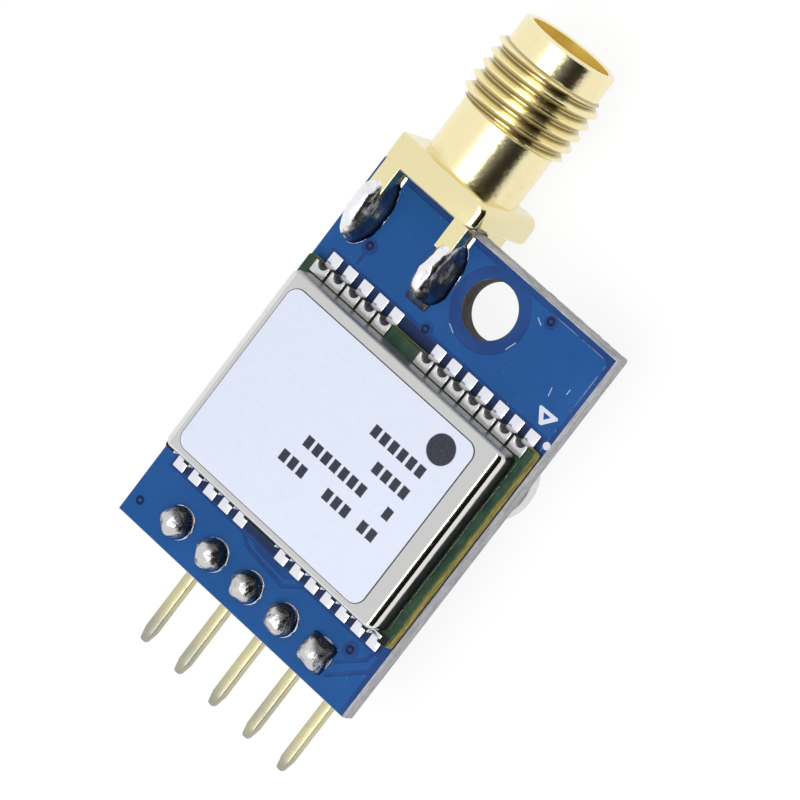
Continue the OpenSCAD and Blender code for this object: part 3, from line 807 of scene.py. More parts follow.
def wall_low_shade(paint: Paint) -> Sock:
    """Painted shade low on the can's right wall, over the bead of flux."""
    low = (paint.z + paint.sway(2.4, 2.0, 0.12)).rise(2.02, 1.78)
    return low * paint.x.rise(15.35, 15.6) * 0.93


def wall_haze_and_shade(paint: Paint) -> Sock:
    """Dull skin and painted shade on the can's wall at the antenna end."""
    return paint.y.rise(15.36, 15.62)


def leg_flank_shade(paint: Paint) -> Sock:
    """Painted shade on the right flank of the solder at the jack's front legs.

    Args:
        paint: the material's tree.

    Returns:
        The share of painted shade.
    """
    across = paint.x + paint.sway(1.8, 3.0, 0.5)
    left = across.rise(1.28, 1.62) * (paint.x < JACK_X)
    return left.high(across.rise(6.30, 6.64)) * 0.72


def notch_shade(paint: Paint) -> Sock:
    """Painted shade in the plated half-holes, below the terminals' plates."""
    return paint.z.rise(0.845, 0.80) * 0.84


def joint_flank_shade(paint: Paint) -> Sock:
    """Painted shade on the flank of each header joint that looks towards the antenna.

    Args:
        paint: the material's tree.

    Returns:
        The share of painted shade.
    """
    across = (((paint.x - PIN_FIRST) / PIN_PITCH + 0.5).fract() - 0.5) * PIN_PITCH
    along = paint.y - PIN_ROW
    return (across * 0.52 + along * 0.86 + paint.sway(2.2, 3.0, 0.5)).rise(0.06, 0.40) * 0.80


def tip_stain(paint: Paint) -> Sock:
    """Grey tarnish that creeps up each pin from its tip, further on some than on others."""
    return (paint.y + paint.sway(0.33, 1.0, 5.0)).rise(-2.6, -5.2) * 0.85


def thread_groove_dark(paint: Paint) -> Sock:
    """A darker brown in the grooves of the thread."""
    radius = ((paint.x - JACK_X) ** 2 + (paint.z - JACK_Z) ** 2).root()
    return radius.rise(2.96, 2.80) * radius.rise(2.70, 2.735) * paint.y.rise(27.15, 27.25) * 0.62


BLUE = dict(copper=(0.0125, 0.088, 0.298), bare=(0.015, 0.053, 0.206))
MASK_FRONT = SolderMask("blue_mask_front", pour=front_pour, scuffs_and_glint=front_scuffs_and_glint, painted_shade=pad_gap_shade, **BLUE)
MASK_BACK = SolderMask("blue_mask_back", pour=back_pour, scuffs_and_glint=back_scuffs, **BLUE)
BOARD_EDGE = CutLaminate("board_edge", (0.66, 0.66, 0.69), (0.36, 0.36, 0.38))
# The drilled wall: a dark copy of the cut edge, as painted shade.
SHADED_HOLE_WALL = CutLaminate("hole_wall", (0.16, 0.15, 0.14), (0.03, 0.028, 0.028))
DECK_EDGE = CutLaminate("deck_edge", (0.52, 0.40, 0.10), (0.12, 0.12, 0.04), over=(0.030, 0.075, 0.035))
# A dark copy of the cut edge: painted shade.
SHADED_DECK_EDGE = CutLaminate("deck_slot", (0.030, 0.032, 0.024), (0.010, 0.011, 0.010), 0.02)
DECK_MASK = ModuleMask(
    "deck_mask", (0.036, 0.092, 0.048), (0.012, 0.042, 0.024), (4.75, 15.66), ((0.8, 6.22), (8.18, 15.82)))
TIN = Metal("bright_tin", (0.77, 0.78, 0.84), (0.62, 0.63, 0.69), (0.12, 0.28), 7.0, wave=0.008)
# Terminal plates, with painted shade down the linings of the half-holes.
TERMINAL = Metal(
    "terminal_plate", (0.60, 0.60, 0.60), (0.40, 0.40, 0.39), (0.14, 0.30), 7.0, wave=0.005,
    stain_and_shade=notch_shade)
SOLDER = Metal("solder", (0.74, 0.74, 0.77), (0.20, 0.20, 0.22), (0.08, 0.26), 5.0, 0.005, wave=0.05, spots=0.4)
# Solder at the jack's legs: painted shade low down and on the right flanks.
LEG_SOLDER = Metal(
    "leg_solder", (0.86, 0.86, 0.89), (0.040, 0.042, 0.058), (0.16, 0.34), 5.0, 0.012, (1.6, 0.5, 1.6),
    wave=0.02, spots=0.30, shade_heights=(0.10, 0.45), stain_and_shade=leg_flank_shade)
# Solder in the half-holes, with painted shade on its high part inside the notch.
NOTCH_SOLDER = Metal(
    "notch_fill", (0.50, 0.50, 0.52), (0.070, 0.070, 0.075), (0.30, 0.44), wave=0.004, spots=0.08,
    shade_heights=(0.30, 0.11))
# Header joints: painted shade low down and on the flank that looks towards the antenna.
JOINT = Metal(
    "joint_solder", (0.60, 0.59, 0.59), (0.090, 0.087, 0.093), (0.20, 0.42), 4.5, 0.055, wave=0.07, spots=0.9,
    shade_heights=(0.12, 0.40), stain_and_shade=joint_flank_shade)
CAN_FLAT = Metal("can_flat", (0.60, 0.60, 0.595), (0.54, 0.54, 0.535), (0.06, 0.14), 12.0, 0.002, wave=0.002)
# The can's wall: painted shade low down, deepest on the right wall, and dull skin with painted shade at the
# antenna end.
CAN_WALL = Metal(
    "can_wall", (0.74, 0.74, 0.73), (0.46, 0.46, 0.45), (0.06, 0.18), 12.0, 0.002, wave=0.006, spots=0.1,
    shade_heights=(1.2, 2.1), dull=0.34, haze_and_shade=wall_haze_and_shade, stain_and_shade=wall_low_shade)
CELL_STEEL = Metal("cell_steel", (0.76, 0.76, 0.75), (0.62, 0.62, 0.61), (0.34, 0.50), 9.0, body=0.8)
LID_METAL = Metal("lid_metal", (0.62, 0.58, 0.46), (0.46, 0.42, 0.32), (0.22, 0.36), 9.0)
GOLD = Metal(
    "turned_gold", (0.91, 0.81, 0.49), (0.74, 0.61, 0.32), (0.17, 0.30), 5.0, 0.016, (0.7, 3, 0.7), spots=0.2,
    stain_and_shade=thread_groove_dark, stain_and_shade_colour=(0.20, 0.14, 0.045))
FLANGE_GOLD = Metal("milled_gold", (0.82, 0.73, 0.43), (0.70, 0.60, 0.33), (0.12, 0.24), 9.0)
# The mouth and bore: gold painted deeper and more saturated, a painted stand-in for light bounced inside.
BORE_BOUNCE_GOLD = Metal(
    "bore_gold", (0.98, 0.76, 0.20), (0.80, 0.58, 0.12), (0.34, 0.5), 5.0, 0.004, (0.5, 4, 0.5), body=0.55)
PIN_GOLD = Metal(
    "pin_plate", (0.55, 0.51, 0.31), (0.42, 0.40, 0.31), (0.26, 0.46), 5.0, 0.006, (1, 0.25, 1), spots=0.6,
    stain_and_shade=tip_stain, stain_and_shade_colour=(0.34, 0.335, 0.29))
LABEL_PAPER = Paper(
    "label_paper", (0.785, 0.835, 0.98), (0.022, 0.025, 0.040), (12.89, 13.78, 0.8),
    ((8.3, 6.2, 13.3), (9.62, 6.8, 13.3), (10.95, 10.6, 13.3), (12.28, 9.2, 13.3)))
LABEL_EDGE = Moulding("label_edge", (0.055, 0.055, 0.062), (0.10, 0.10, 0.11), 0.6)
FLUX = Moulding("flux_bead", (0.020, 0.030, 0.022), (0.060, 0.075, 0.055), 0.16, 9.0, 0.012, 0.9)
INK = Moulding("white_ink", (0.74, 0.78, 0.88), (0.60, 0.66, 0.80), 0.5, 14.0, 0.003)
VIA_DARK = Moulding("via_ring", (0.006, 0.014, 0.060), (0.010, 0.026, 0.10), 0.4, 10.0, 0.002, gloss=0.12)
BLACK_CASE = Moulding("black_case", (0.016, 0.016, 0.017), (0.032, 0.032, 0.034), 0.55, 16.0, 0.005)
BLOCK_NYLON = Moulding("block_nylon", (0.012, 0.012, 0.013), (0.028, 0.028, 0.030), 0.42, 7.0, 0.005)
TAN_CERAMIC = Moulding("tan_ceramic", (0.34, 0.20, 0.095), (0.26, 0.14, 0.06), 0.45, 11.0)
GREY_FERRITE = Moulding("grey_ferrite", (0.075, 0.08, 0.085), (0.12, 0.125, 0.13), 0.6, 13.0, 0.006)
WAX = Moulding("insulator_wax", (0.85, 0.85, 0.82), (0.78, 0.78, 0.75), 0.42, 6.0, 0.002)
LAMP_BOARD = Moulding("lamp_board", (0.78, 0.78, 0.73), (0.70, 0.70, 0.64), 0.45)
LAMP_RESIN = Moulding("lamp_resin", (0.84, 0.80, 0.64), (0.74, 0.70, 0.52), 0.15, 3.0, 0.002, 0.8)


# Meshes


def lump(*at: float) -> float:
    """Smooth noise at a place, about from -1 to 1."""
    return noise.noise(Vector(at))


def circle(r: float, count: int, x: float = 0.0, y: float = 0.0) -> list[Spot]:
    """Places round a circle."""
    turns = [math.tau * k / count for k in range(count)]
    return [(x + r * math.cos(a), y + r * math.sin(a)) for a in turns]


def flat(outline: Sequence[Spot], z: float) -> list[Point]:
    """An outline laid at a height."""
    return [(x, y, z) for x, y in outline]


def quarter(steps: int) -> list[float]:
    """Angles from nought to a right angle."""
    return [math.pi / 2 * k / steps for k in range(steps + 1)]


def round_rect(x0: float, y0: float, x1: float, y1: float, r: float, steps: int = 6) -> list[Spot]:
    """Outline of a rectangle with round corners.

    Args:
        x0, y0: its low corner.
        x1, y1: its high corner.
        r: corner radius.
        steps: edges in each corner.

    Returns:
        Places in order round the outline.
    """
    r = max(r, 1e-4)
    corners = ((x1 - r, y1 - r, 0), (x0 + r, y1 - r, 90), (x0 + r, y0 + r, 180), (x1 - r, y0 + r, 270))
    made = []
    for x, y, start in corners:
        turns = [math.radians(start + 90 * k / steps) for k in range(steps + 1)]
        made += [(x + r * math.cos(a), y + r * math.sin(a)) for a in turns]
    return made


class Shell:
    """A piece's mesh while it is being made, in board millimetres."""

    def __init__(self) -> None:
        """Starts with no faces."""
        self.bm = bmesh.new()

    def ring(self, points: Ring) -> list[bmesh.types.BMVert]:
        """Adds the corners of a closed ring."""
        return [self.bm.verts.new(p) for p in points]

    def face(self, corners: Sequence[bmesh.types.BMVert], finish: int = 0) -> None:
        """Adds a face."""
        self.bm.faces.new(corners).material_index = finish

    def chain(self, rings: Sequence[list[bmesh.types.BMVert]], finish: int = 0) -> None:
        """Joins rings of the same number of corners, one after another.

        Args:
            rings: corners that ring() has added.
            finish: finish of the faces.
        """
        for a, b in zip(rings, rings[1:]):
            for i, j in zip(range(len(a)), [*range(1, len(a)), 0]):
                self.face((a[i], a[j], b[j], b[i]), finish)

    def loft(
        self, rings: Sequence[Ring], finish: int = 0, ends: tuple[int, int] = (0, 0), whole: bool = False,
    ) -> None:
        """Closed body through rings.

        Args:
            rings: rings with the same number of corners.
            finish: finish of the sides.
            ends: finishes of the two end faces.
            whole: joins the last ring to the first instead of closing the ends.
        """
        made = [self.ring(r) for r in rings]
        self.chain(made + made[:1] if whole else made, finish)
        if not whole:
            self.face(made[0], ends[0])
            self.face(made[-1], ends[1])

    def prism(self, outline: Callable[[float], list[Spot]], low: float, high: float, edge: float) -> None:
        """Prism with rounded end edges.

        Args:
            outline: gives the outline for an inset.
            low, high: its ends.
            edge: radius of the end edges.
        """
        turns = quarter(3)
        levels = [(low + edge * (1 - math.sin(t)), t) for t in reversed(turns)]
        levels += [(high - edge * (1 - math.sin(t)), t) for t in turns]
        self.loft([flat(outline(edge * (1 - math.cos(t))), z) for z, t in levels])

    def block(self, low: Point, high: Point, edge: float, corner: float) -> None:
        """Box with rounded edges.

        Args:
            low, high: its corners.
            edge: radius of the edges at its top and bottom.
            corner: radius of its upright edges.
        """
        radius = max(edge, corner)
        self.prism(
            lambda inset: round_rect(
                low[0] + inset, low[1] + inset, high[0] - inset, high[1] - inset, radius - inset, 4),
            low[2], high[2], edge,
        )

    def lathe(self, side: Sequence[tuple[float, float]], at: Point, count: int) -> None:
        """Turned body about an axis along Z.

        Args:
            side: radius and height of each ring, from the axis back to the axis.
            at: a place on the axis, from which the heights count.
            count: corners of each ring.
        """
        self.loft([flat(circle(r, count, at[0], at[1]), at[2] + z) for r, z in side])

    def add(self, mesh: bpy.types.Mesh) -> None:
        """Adds a finished mesh."""
        self.bm.from_mesh(mesh)
        bpy.data.meshes.remove(mesh)

    def mesh(self, name: str) -> bpy.types.Mesh:
        """The mesh, with its faces turned outwards.

        Args:
            name: the mesh's name.

        Returns:
            The finished mesh.
        """
        bmesh.ops.recalc_face_normals(self.bm, faces=self.bm.faces)
        made = bpy.data.meshes.new(name)
        self.bm.to_mesh(made)
        self.bm.free()
        return made

    def unit(self, name: str) -> bpy.types.Object:
        """A helper object with this mesh, for a recipe to copy."""
        return add_object(name, self.mesh(name))


def place(
    name: str, mesh: bpy.types.Mesh, finishes: Sequence[Finish], slot: str, nodes: Sequence[str] = (),
    smooth: float = 35.0,
) -> None:
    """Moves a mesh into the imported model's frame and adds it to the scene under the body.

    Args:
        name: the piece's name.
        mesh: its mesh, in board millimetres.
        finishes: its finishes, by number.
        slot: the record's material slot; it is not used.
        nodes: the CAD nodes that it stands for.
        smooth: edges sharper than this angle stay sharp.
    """
    mesh.name = name
    mesh.transform(TO_MODEL)
    if not mesh.materials:
        for finish in finishes:
            mesh.materials.append(finish.material())
    mesh.polygons.foreach_set("use_smooth", [True] * len(mesh.polygons))
    mesh.set_sharp_from_angle(angle=math.radians(smooth))
    piece = add_object(name, mesh)
    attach(piece, BODY)
    if nodes:
        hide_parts(*nodes)
    LOG.info("%s: %d faces", name, len(mesh.polygons))


def soften(node: str, finish: Finish, slot: str, edge: float) -> None:
    """Makes a piece from a copy of a CAD node, which it stands for, with its sharp edges rounded.

    Args:
        node: the CAD node.
        finish: its finish.
        slot: the record's material slot.
        edge: width of the rounding, in millimetres.
    """
    bm = bmesh.new()
    bm.from_mesh(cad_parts[node].data)
    bmesh.ops.transform(bm, matrix=TO_MODEL.inverted(), verts=bm.verts)
    bmesh.ops.remove_doubles(bm, verts=bm.verts, dist=2e-4)
    bmesh.ops.dissolve_limit(bm, angle_limit=math.radians(1.5), verts=bm.verts, edges=bm.edges)
    sharp = [e for e in bm.edges if len(e.link_faces) == 2 and e.calc_face_angle() > math.radians(35)]
    bmesh.ops.bevel(
        bm, geom=sharp, offset=edge, offset_type="OFFSET", segments=2, profile=0.6, affect="EDGES",
        clamp_overlap=True)
    mesh = bpy.data.meshes.new(node)
    bm.to_mesh(mesh)
    bm.free()
    place(node + "_shown", mesh, (finish,), slot, (node,))


def dress(node: str, finish: Finish) -> None:
    """Gives a CAD node that stays as it is a finish.

    Args:
        node: the CAD node.
        finish: its finish.
    """
    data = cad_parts[node].data
    data.materials.clear()
    data.materials.append(finish.material())
    LOG.info("%s: dressed as %s", node, finish.name)


# The board


@dataclass
class CarrierBoard:
    """Blue board with torn edges, a mounting hole, printed marks and filled vias."""

    width: float = 16.4
    length: float = 22.3
    thick: float = BOARD_THICK
    lip: float = 0.25
    slope: float = 0.35
    score: float = 0.07
    cut: float = 0.025
    layers: Sequence[float] = (-0.14, -0.24, -0.36, -0.48, -0.60, -0.72, -0.84, -0.96, -1.06)
    hole_r: float = 1.5
    hole_edge: float = 0.045
    hole_count: int = 72
    step: float = 0.13
    tear: float = 0.05
    ink_t: float = 0.014
    line_w: float = 0.12
    arrow: Sequence[Spot] = ((14.50, 18.22), (15.16, 17.36), (15.88, 18.26))
    arrow_blunt: float = 0.10
    arrow_hollow: float = 0.36
    dot: Spot = (16.14, 16.88)
    outlines: Sequence[tuple[float, float, float, float]] = (
        (2.65, 5.35, 6.15, 9.05), (7.9, 6.3, 10.5, 8.1), (3.1, 9.5, 5.7, 11.3), (7.9, 9.5, 10.5, 11.3),
        (6.8, 12.8, 10.4, 14.6), (2.45, 15.6, 4.65, 16.8), (8.1, 4.0, 10.3, 5.2), (11.5, 4.0, 13.7, 5.2))
    vias_front: Sequence[Spot] = ((7.34, 17.2), (12.37, 21.6), (14.51, 2.76), (0.68, 1.05), (2.29, 18.45))
    vias_back: Sequence[Spot] = (
        (7.34, 17.2), (12.37, 21.6), (14.51, 2.76), (0.68, 1.05), (13.4, 17.2), (7.0, 9.2), (11.8, 2.9),
        (2.2, 12.6), (6.4, 19.4), (14.9, 19.2), (2.0, 5.2))

    def build(self) -> None:
        """Makes the board, its marks and its vias."""
        self._core()
        self._marks()
        self._vias(Side.FRONT, self.vias_front, 0.0, MASK_FRONT)
        self._vias(Side.BACK, self.vias_back, -self.thick, MASK_BACK)

    def _outline(self) -> list[tuple[float, float, tuple[Spot, ...]]]:
        """Places round the board.

        Returns:
            X, Y and the outward directions of the sides that each place lies on.
        """
        corners = ((0, 0), (self.width, 0), (self.width, self.length), (0, self.length))
        ways = ((0, -1), (1, 0), (0, 1), (-1, 0))
        made = []
        for number, (a, out) in enumerate(zip(corners, ways)):
            b = corners[(number + 1) % 4]
            count = round(math.dist(a, b) / self.step)
            for k in range(count):
                x, y = (start + (end - start) * k / count for start, end in zip(a, b))
                made.append((x, y, (out,) if k else (out, ways[number - 1])))
        return made

    def _reach(self, x: float, y: float, z: float, out: Spot) -> float:
        """How far the torn edge stands out on one side.

        Args:
            x, y, z: a place on the edge.
            out: the side's outward direction.

        Returns:
            The distance from the board's outline.
        """
        depth = -z / self.thick
        middle = max(0.0, 1 - abs(depth - 0.5) / 0.32)
        torn = lump(x * 3.1, y * 3.1, z * 1.5) + 0.6 * lump(x * 8, y * 8, z * 4 + 9)
        if out == (0, 1):
            rise = min(1.0, -z / self.slope, (z + self.thick) / self.slope)
            return self.lip * max(0.0, rise) * 0.86 + torn * self.tear * (0.25 + 0.75 * middle)
        if out == (1, 0):
            near = max(0.0, 1 - min(-z, z + self.thick) / self.slope)
            return -self.score * near + min(0.0, torn - 0.3) * self.tear * middle
        return min(0.0, torn - 0.5) * self.tear * 0.3 * middle

    def _core(self) -> None:
        """The board itself: lacquered faces, torn edges, drilled wall in painted shade."""
        shell = Shell()
        outline = self._outline()
        rings = []
        for z in (0.0, -self.cut, *self.layers, self.cut - self.thick, -self.thick):
            inset = -self.cut if z in (0.0, -self.thick) else 0.0
            ring = []
            for x, y, ways in outline:
                reach = [(ox, oy, self._reach(x, y, z, (ox, oy)) + inset) for ox, oy in ways]
                ring.append((x + sum(ox * r for ox, _, r in reach), y + sum(oy * r for _, oy, r in reach), z))
            rings.append(shell.ring(ring))
        shell.chain(rings, 2)
        wall = (
            (1.03, 0.0), (1.0, -self.hole_edge), (1.0, self.hole_edge - self.thick), (1.03, -self.thick))
        drilled = [
            shell.ring(flat(circle(self.hole_r * k, self.hole_count, *HOLE), z)) for k, z in wall]
        shell.chain(drilled, 3)
        for finish, loops in enumerate(((rings[0], drilled[0]), (rings[-1], drilled[-1]))):
            edges = [
                shell.bm.edges.get(pair) for ring in loops for pair in zip(ring, ring[1:] + ring[:1])]
            filled = bmesh.ops.triangle_fill(shell.bm, use_beauty=True, use_dissolve=False, edges=edges)
            for item in filled["geom"]:
                if isinstance(item, bmesh.types.BMFace):
                    item.material_index = finish
        finishes = (MASK_FRONT, MASK_BACK, BOARD_EDGE, SHADED_HOLE_WALL)
        place("board", shell.mesh("board"), finishes, "board_blue", ("carrier_board",))

    def _band(self, shell: Shell, outer: Sequence[Spot], inner: Sequence[Spot], z: float, side: Side) -> None:
        """Adds a flat printed band between two outlines.

        Args:
            shell: the mesh to add to.
            outer, inner: outlines with the same number of places.
            z: height of the face that it is printed on.
            side: which face that is.
        """
        top = z + self.ink_t * side.value
        shell.loft([flat(outer, z), flat(outer, top), flat(inner, top), flat(inner, z)], whole=True)

    def _arrow(self, share: float) -> list[Spot]:
        """The printed triangle, drawn towards its middle, with blunt corners.

        Args:
            share: its size, where 1 is the outer edge.

        Returns:
            Places round it.
        """
        mid_x, mid_y = (sum(values) / 3 for values in zip(*self.arrow))
        blunt = []
        for i, (x, y) in enumerate(self.arrow):
            for other_x, other_y in (self.arrow[i - 1], self.arrow[(i + 1) % 3]):
                blunt.append((x + (other_x - x) * self.arrow_blunt, y + (other_y - y) * self.arrow_blunt))
        return [(mid_x + (x - mid_x) * share, mid_y + (y - mid_y) * share) for x, y in blunt]

    def _marks(self) -> None:
        """Printed marks: a hollow triangle and a dot on the front, part outlines on the back."""
        front = Shell()
        self._band(front, self._arrow(1.0), self._arrow(self.arrow_hollow), 0.0, Side.FRONT)
        front.lathe(((0.02, 0.0), (0.21, 0.0), (0.20, self.ink_t), (0.02, self.ink_t)), (*self.dot, 0.0), 32)
        place("marks_front", front.mesh("marks_front"), (INK,), "label")
        back = Shell()
        w = self.line_w
        for x0, y0, x1, y1 in self.outlines:
            outer = round_rect(x0, y0, x1, y1, w)
            inner = round_rect(x0 + w, y0 + w, x1 - w, y1 - w, w / 3)
            self._band(back, outer, inner, -self.thick, Side.BACK)
        place("marks_back", back.mesh("marks_back"), (INK,), "label")

    @staticmethod
    def _vias(side: Side, spots: Sequence[Spot], face: float, lacquer: Finish) -> None:
        """Filled vias: a low ring of lacquer round a dark plug, one at each spot.

        Args:
            side: the face of the board that they are on.
            spots: their places.
            face: that face's height.
            lacquer: the finish of the plugs.
        """
        for name, profile, finish in (
            ("rings", ((0.09, 0.0), (0.24, 0.0), (0.21, 0.016), (0.15, 0.020), (0.09, 0.006)), VIA_DARK),
            ("plugs", ((0.01, 0.0), (0.10, 0.0), (0.095, 0.007), (0.01, 0.004)), lacquer),
        ):
            unit = Shell()
            unit.loft([flat(circle(r, 20), z * side.value) for r, z in profile], whole=name == "rings")
            key = f"via_{name}_{side.name.lower()}"
            points = bpy.data.meshes.new(key + "_spots")
            points.from_pydata(flat(spots, face), [], [])
            recipe = Recipe(key, {
                "Via": unit.unit(key + "_unit"), "Spots": add_object(key + "_spots", points)})
            mesh = recipe.run(recipe.copies(recipe.unit("Spots"), recipe.unit("Via")), finish)
            place(key, mesh, (finish,), "board_blue")


# The receiver


@dataclass
class Receiver:
    """Green board with plated half-holes, their pads and solder, the shield can and its label."""

    x: float = 0.3
    y: float = 4.2
    length: float = 16.0
    width: float = 12.2
    low: float = 0.05
    deck: float = 0.85
    corner: float = 0.15
    slant: float = 0.12
    pitch: float = 1.1
    first: float = 1.0
    left: int = 5
    right: int = 7
    notch_r: float = 0.38
    plate: float = 0.06
    plate_w: float = 0.95
    plate_edge: float = 0.022
    can_in: tuple[float, float, float, float] = (0.45, 0.44, 0.60, 0.73)
    can_h: float = 1.55
    can_r: float = 0.45
    can_lift: float = 0.02
    can_roll: Sequence[tuple[float, float]] = ((22.0, 0.25), (50.0, 0.50), (90.0, 0.40))
    can_wall: float = 0.2
    label_edges: tuple[float, float, float, float] = (0.60, 0.43, 1.22, 0.60)
    label_r: float = 0.7
    label_t: float = 0.06

    @property
    def terminals(self) -> list[float]:
        """Places of the terminals along X."""
        last = self.length - self.first
        return [self.x + self.first + i * self.pitch for i in range(self.left)] + [
            self.x + last - (self.right - 1 - i) * self.pitch for i in range(self.right)]

    def build(self) -> None:
        """Makes the receiver from its board up."""
        self._deck()
        for name, units, finish, slot, node in (
            ("receiver_pads", [self._pad() for _ in Row], TIN, "tin", "front_pads"),
            ("edge_terminals_shown", [self._plating(row) for row in Row], TERMINAL, "tin", "edge_terminals"),
            ("notch_solder_shown", [self._fillet() for _ in Row], NOTCH_SOLDER, "solder", "notch_solder"),
        ):
            self._rows(name, units, finish, slot, node)
        self._can()
        self._flux()
        self._label()

    def _outline(self, inset: float) -> list[Spot]:
        """Outline of the green board with its notches.

        Args:
            inset: how far it is drawn in.

        Returns:
            Places round it.
        """
        x0, x1 = self.x + inset, self.x + self.length - inset
        y0, y1 = self.y + inset, self.y + self.width - inset
        corners = round_rect(x0, y0, x1, y1, self.corner - inset)
        notch, steps = self.notch_r + inset, 10

        def bites(edge: float, places: Sequence[float], way: int) -> list[Spot]:
            """Half-round notches along one edge, in the order of the places."""
            turns = [math.pi * k / steps for k in range(steps + 1)]
            return [
                (at - way * notch * math.cos(a), edge + way * notch * math.sin(a))
                for at in places for a in turns]

        part = len(corners) // 4
        upper, lower = bites(y1, self.terminals[::-1], -1), bites(y0, self.terminals, 1)
        return corners[:part] + upper + corners[part:3 * part] + lower + corners[3 * part:]

    def _deck(self) -> None:
        """The green board: lacquered faces and a layered cut edge that slants at the right end, in painted
        shade between the terminals and along its foot.
        """
        shell = Shell()
        right = self.x + self.length
        levels = (
            (self.low, 0.015, 0.0), (self.low + 0.02, 0.0, 0.02), (self.low + 0.17, 0.0, 0.0),
            (self.deck - 0.03, 0.0, -self.slant), (self.deck, 0.03, -self.slant))
        shell.loft([
            [(x + shift * max(0.0, min(1.0, (x - right + 2 * self.corner) / self.corner)), y, z)
             for x, y in self._outline(inset)] for z, inset, shift in levels], 1)
        spread = self.pitch / 2
        first, last = self.terminals[0] - spread, self.terminals[-1] + spread
        gap = self.terminals[self.left - 1] + spread, self.terminals[self.left] - spread
        # Edge faces between the terminals and along the foot take the painted shade.
        for face in shell.bm.faces:
            at = face.calc_center_median()
            in_row = first < at.x < last and not gap[0] < at.x < gap[1]
            if face.material_index == 1 and (in_row or at.z < self.low + 0.15):
                face.material_index = 2
        finishes = (DECK_MASK, DECK_EDGE, SHADED_DECK_EDGE)
        place("receiver_deck", shell.mesh("receiver_deck"), finishes, "board_green", ("receiver_board",))

    def _rows(self, name: str, units: Sequence[Shell], finish: Finish, slot: str, node: str) -> None:
        """Copies a unit to every terminal.

        Args:
            name: the piece's name.
            units: one for each row, which looks towards +Y from the board's edge.
            finish: its finish.
            slot: the record's material slot.
            node: the CAD node that the rows stand for.
        """
        antenna, header = units
        recipe = Recipe(name, {
            "Antenna Unit": antenna.unit(name + "_antenna"), "Header Unit": header.unit(name + "_header"),
            "Left Count": self.left, "Right Count": self.right, "Pitch": self.pitch,
            "Left Start": self.terminals[0], "Right Start": self.terminals[self.left],
            "Header Edge": self.y, "Antenna Edge": self.y + self.width,
        })
        step = recipe.xyz(recipe.size("Pitch"), 0.0, 0.0)
        rows = []
        for row, turn in (("Antenna", 0.0), ("Header", math.pi)):
            part = recipe.unit(row + " Unit")
            for group in ("Left", "Right"):
                start = recipe.xyz(recipe.size(group + " Start"), recipe.size(row + " Edge"), 0.0)
                rows.append(recipe.copies(recipe.line(recipe.size(group + " Count"), start, step), part, turn))
        place(name, recipe.run(recipe.join(rows), finish), (finish,), slot, (node,))

    @staticmethod
    def _pad() -> Shell:
        """A tinned pad with a slightly crowned top.

        Returns:
            The pad, at the middle of the board's edge.
        """
        shell = Shell()
        shell.block((-0.36, -0.95, 0.0), (0.36, 0.67, 0.085), 0.035, 0.06)
        return shell

    def _plating(self, row: Row) -> Shell:
        """A terminal: a plate on the green board and the lining of its half-hole.

        Args:
            row: the row that it is in.

        Returns:
            The terminal, at the middle of the board's edge.
        """
        shell = Shell()
        reach, edge = row.value
        half, r, steps = self.plate_w / 2, self.notch_r - self.plate, 12
        turns = [math.pi * k / steps for k in range(steps + 1)]
        arc = [(r * math.cos(a), -r * math.sin(a)) for a in turns]

        def outline(inset: float) -> list[Spot]:
            """Outline of the plate.

            Args:
                inset: how far it is drawn in.

            Returns:
                Places round it.
            """
            front, grow = -edge - inset, (r + inset) / r
            bow = [(x * grow, min(front, y * grow - inset)) for x, y in arc]
            left, right, back = -half + inset, half - inset, -reach + inset
            return [(left, back), (right, back), (right, front), *bow, (left, front)]

        shell.prism(outline, self.deck - 0.01, self.deck + self.plate, self.plate_edge)
        grow = (self.notch_r + 0.004) / r
        lining = arc + [(x * grow, y * grow) for x, y in reversed(arc)]
        shell.loft([flat(lining, z) for z in (self.low + 0.005, self.deck)])
        return shell

    def _fillet(self) -> Shell:
        """Solder that climbs from the pad into a half-hole, hollow like a scoop.

        Returns:
            The solder, at the middle of the board's edge.
        """
        shell = Shell()
        inside, count = self.notch_r - self.plate, 10
        across = [2 * k / count - 1 for k in range(count + 1)]
        rings = []
        for share, h in (
            (-0.98, 0.64), (-0.90, 0.50), (-0.75, 0.37), (-0.55, 0.26), (-0.32, 0.18), (-0.1, 0.125),
            (0.12, 0.09),
        ):
            y = share * inside
            half = math.sqrt(inside ** 2 - y ** 2) if y < 0 else inside * (1 - 0.35 * share)
            top = [(u * half, y, h + 0.16 * u ** 4 * max(0.0, -share)) for u in across]
            rings.append(top + [(half, y, self.low), (-half, y, self.low)])
        shell.loft(rings)
        return shell

    @property
    def _can_box(self) -> tuple[float, float, float, float]:
        """Low and high corners of the can."""
        left, low, right, high = self.can_in
        return self.x + left, self.y + low, self.x + self.length - right, self.y + self.width - high

    def _can(self) -> None:
        """The drawn can: thin walls, rounded edges, open below."""
        shell = Shell()
        x0, y0, x1, y1 = self._can_box
        r, w, foot, top = self.can_r, self.can_wall, self.deck + self.can_lift, self.deck + self.can_h
        outside = [
            shell.ring(flat(round_rect(x0 + i, y0 + i * 0.5, x1 - i, y1 - i * 0.5, r - i * 0.9), z))
            for z, i in ((foot, 0.0), *self._roll(top))]
        shell.chain(outside, 1)
        shell.face(outside[-1])
        inner = round_rect(x0 + w, y0 + w, x1 - w, y1 - w, r - w)
        inside = [shell.ring(flat(inner, z)) for z in (foot, top - w)]
        shell.chain(inside)
        shell.face(inside[1])
        shell.chain((outside[0], inside[0]))
        place("can", shell.mesh("can"), (CAN_FLAT, CAN_WALL), "can_metal", ("shield_can",), 50.0)

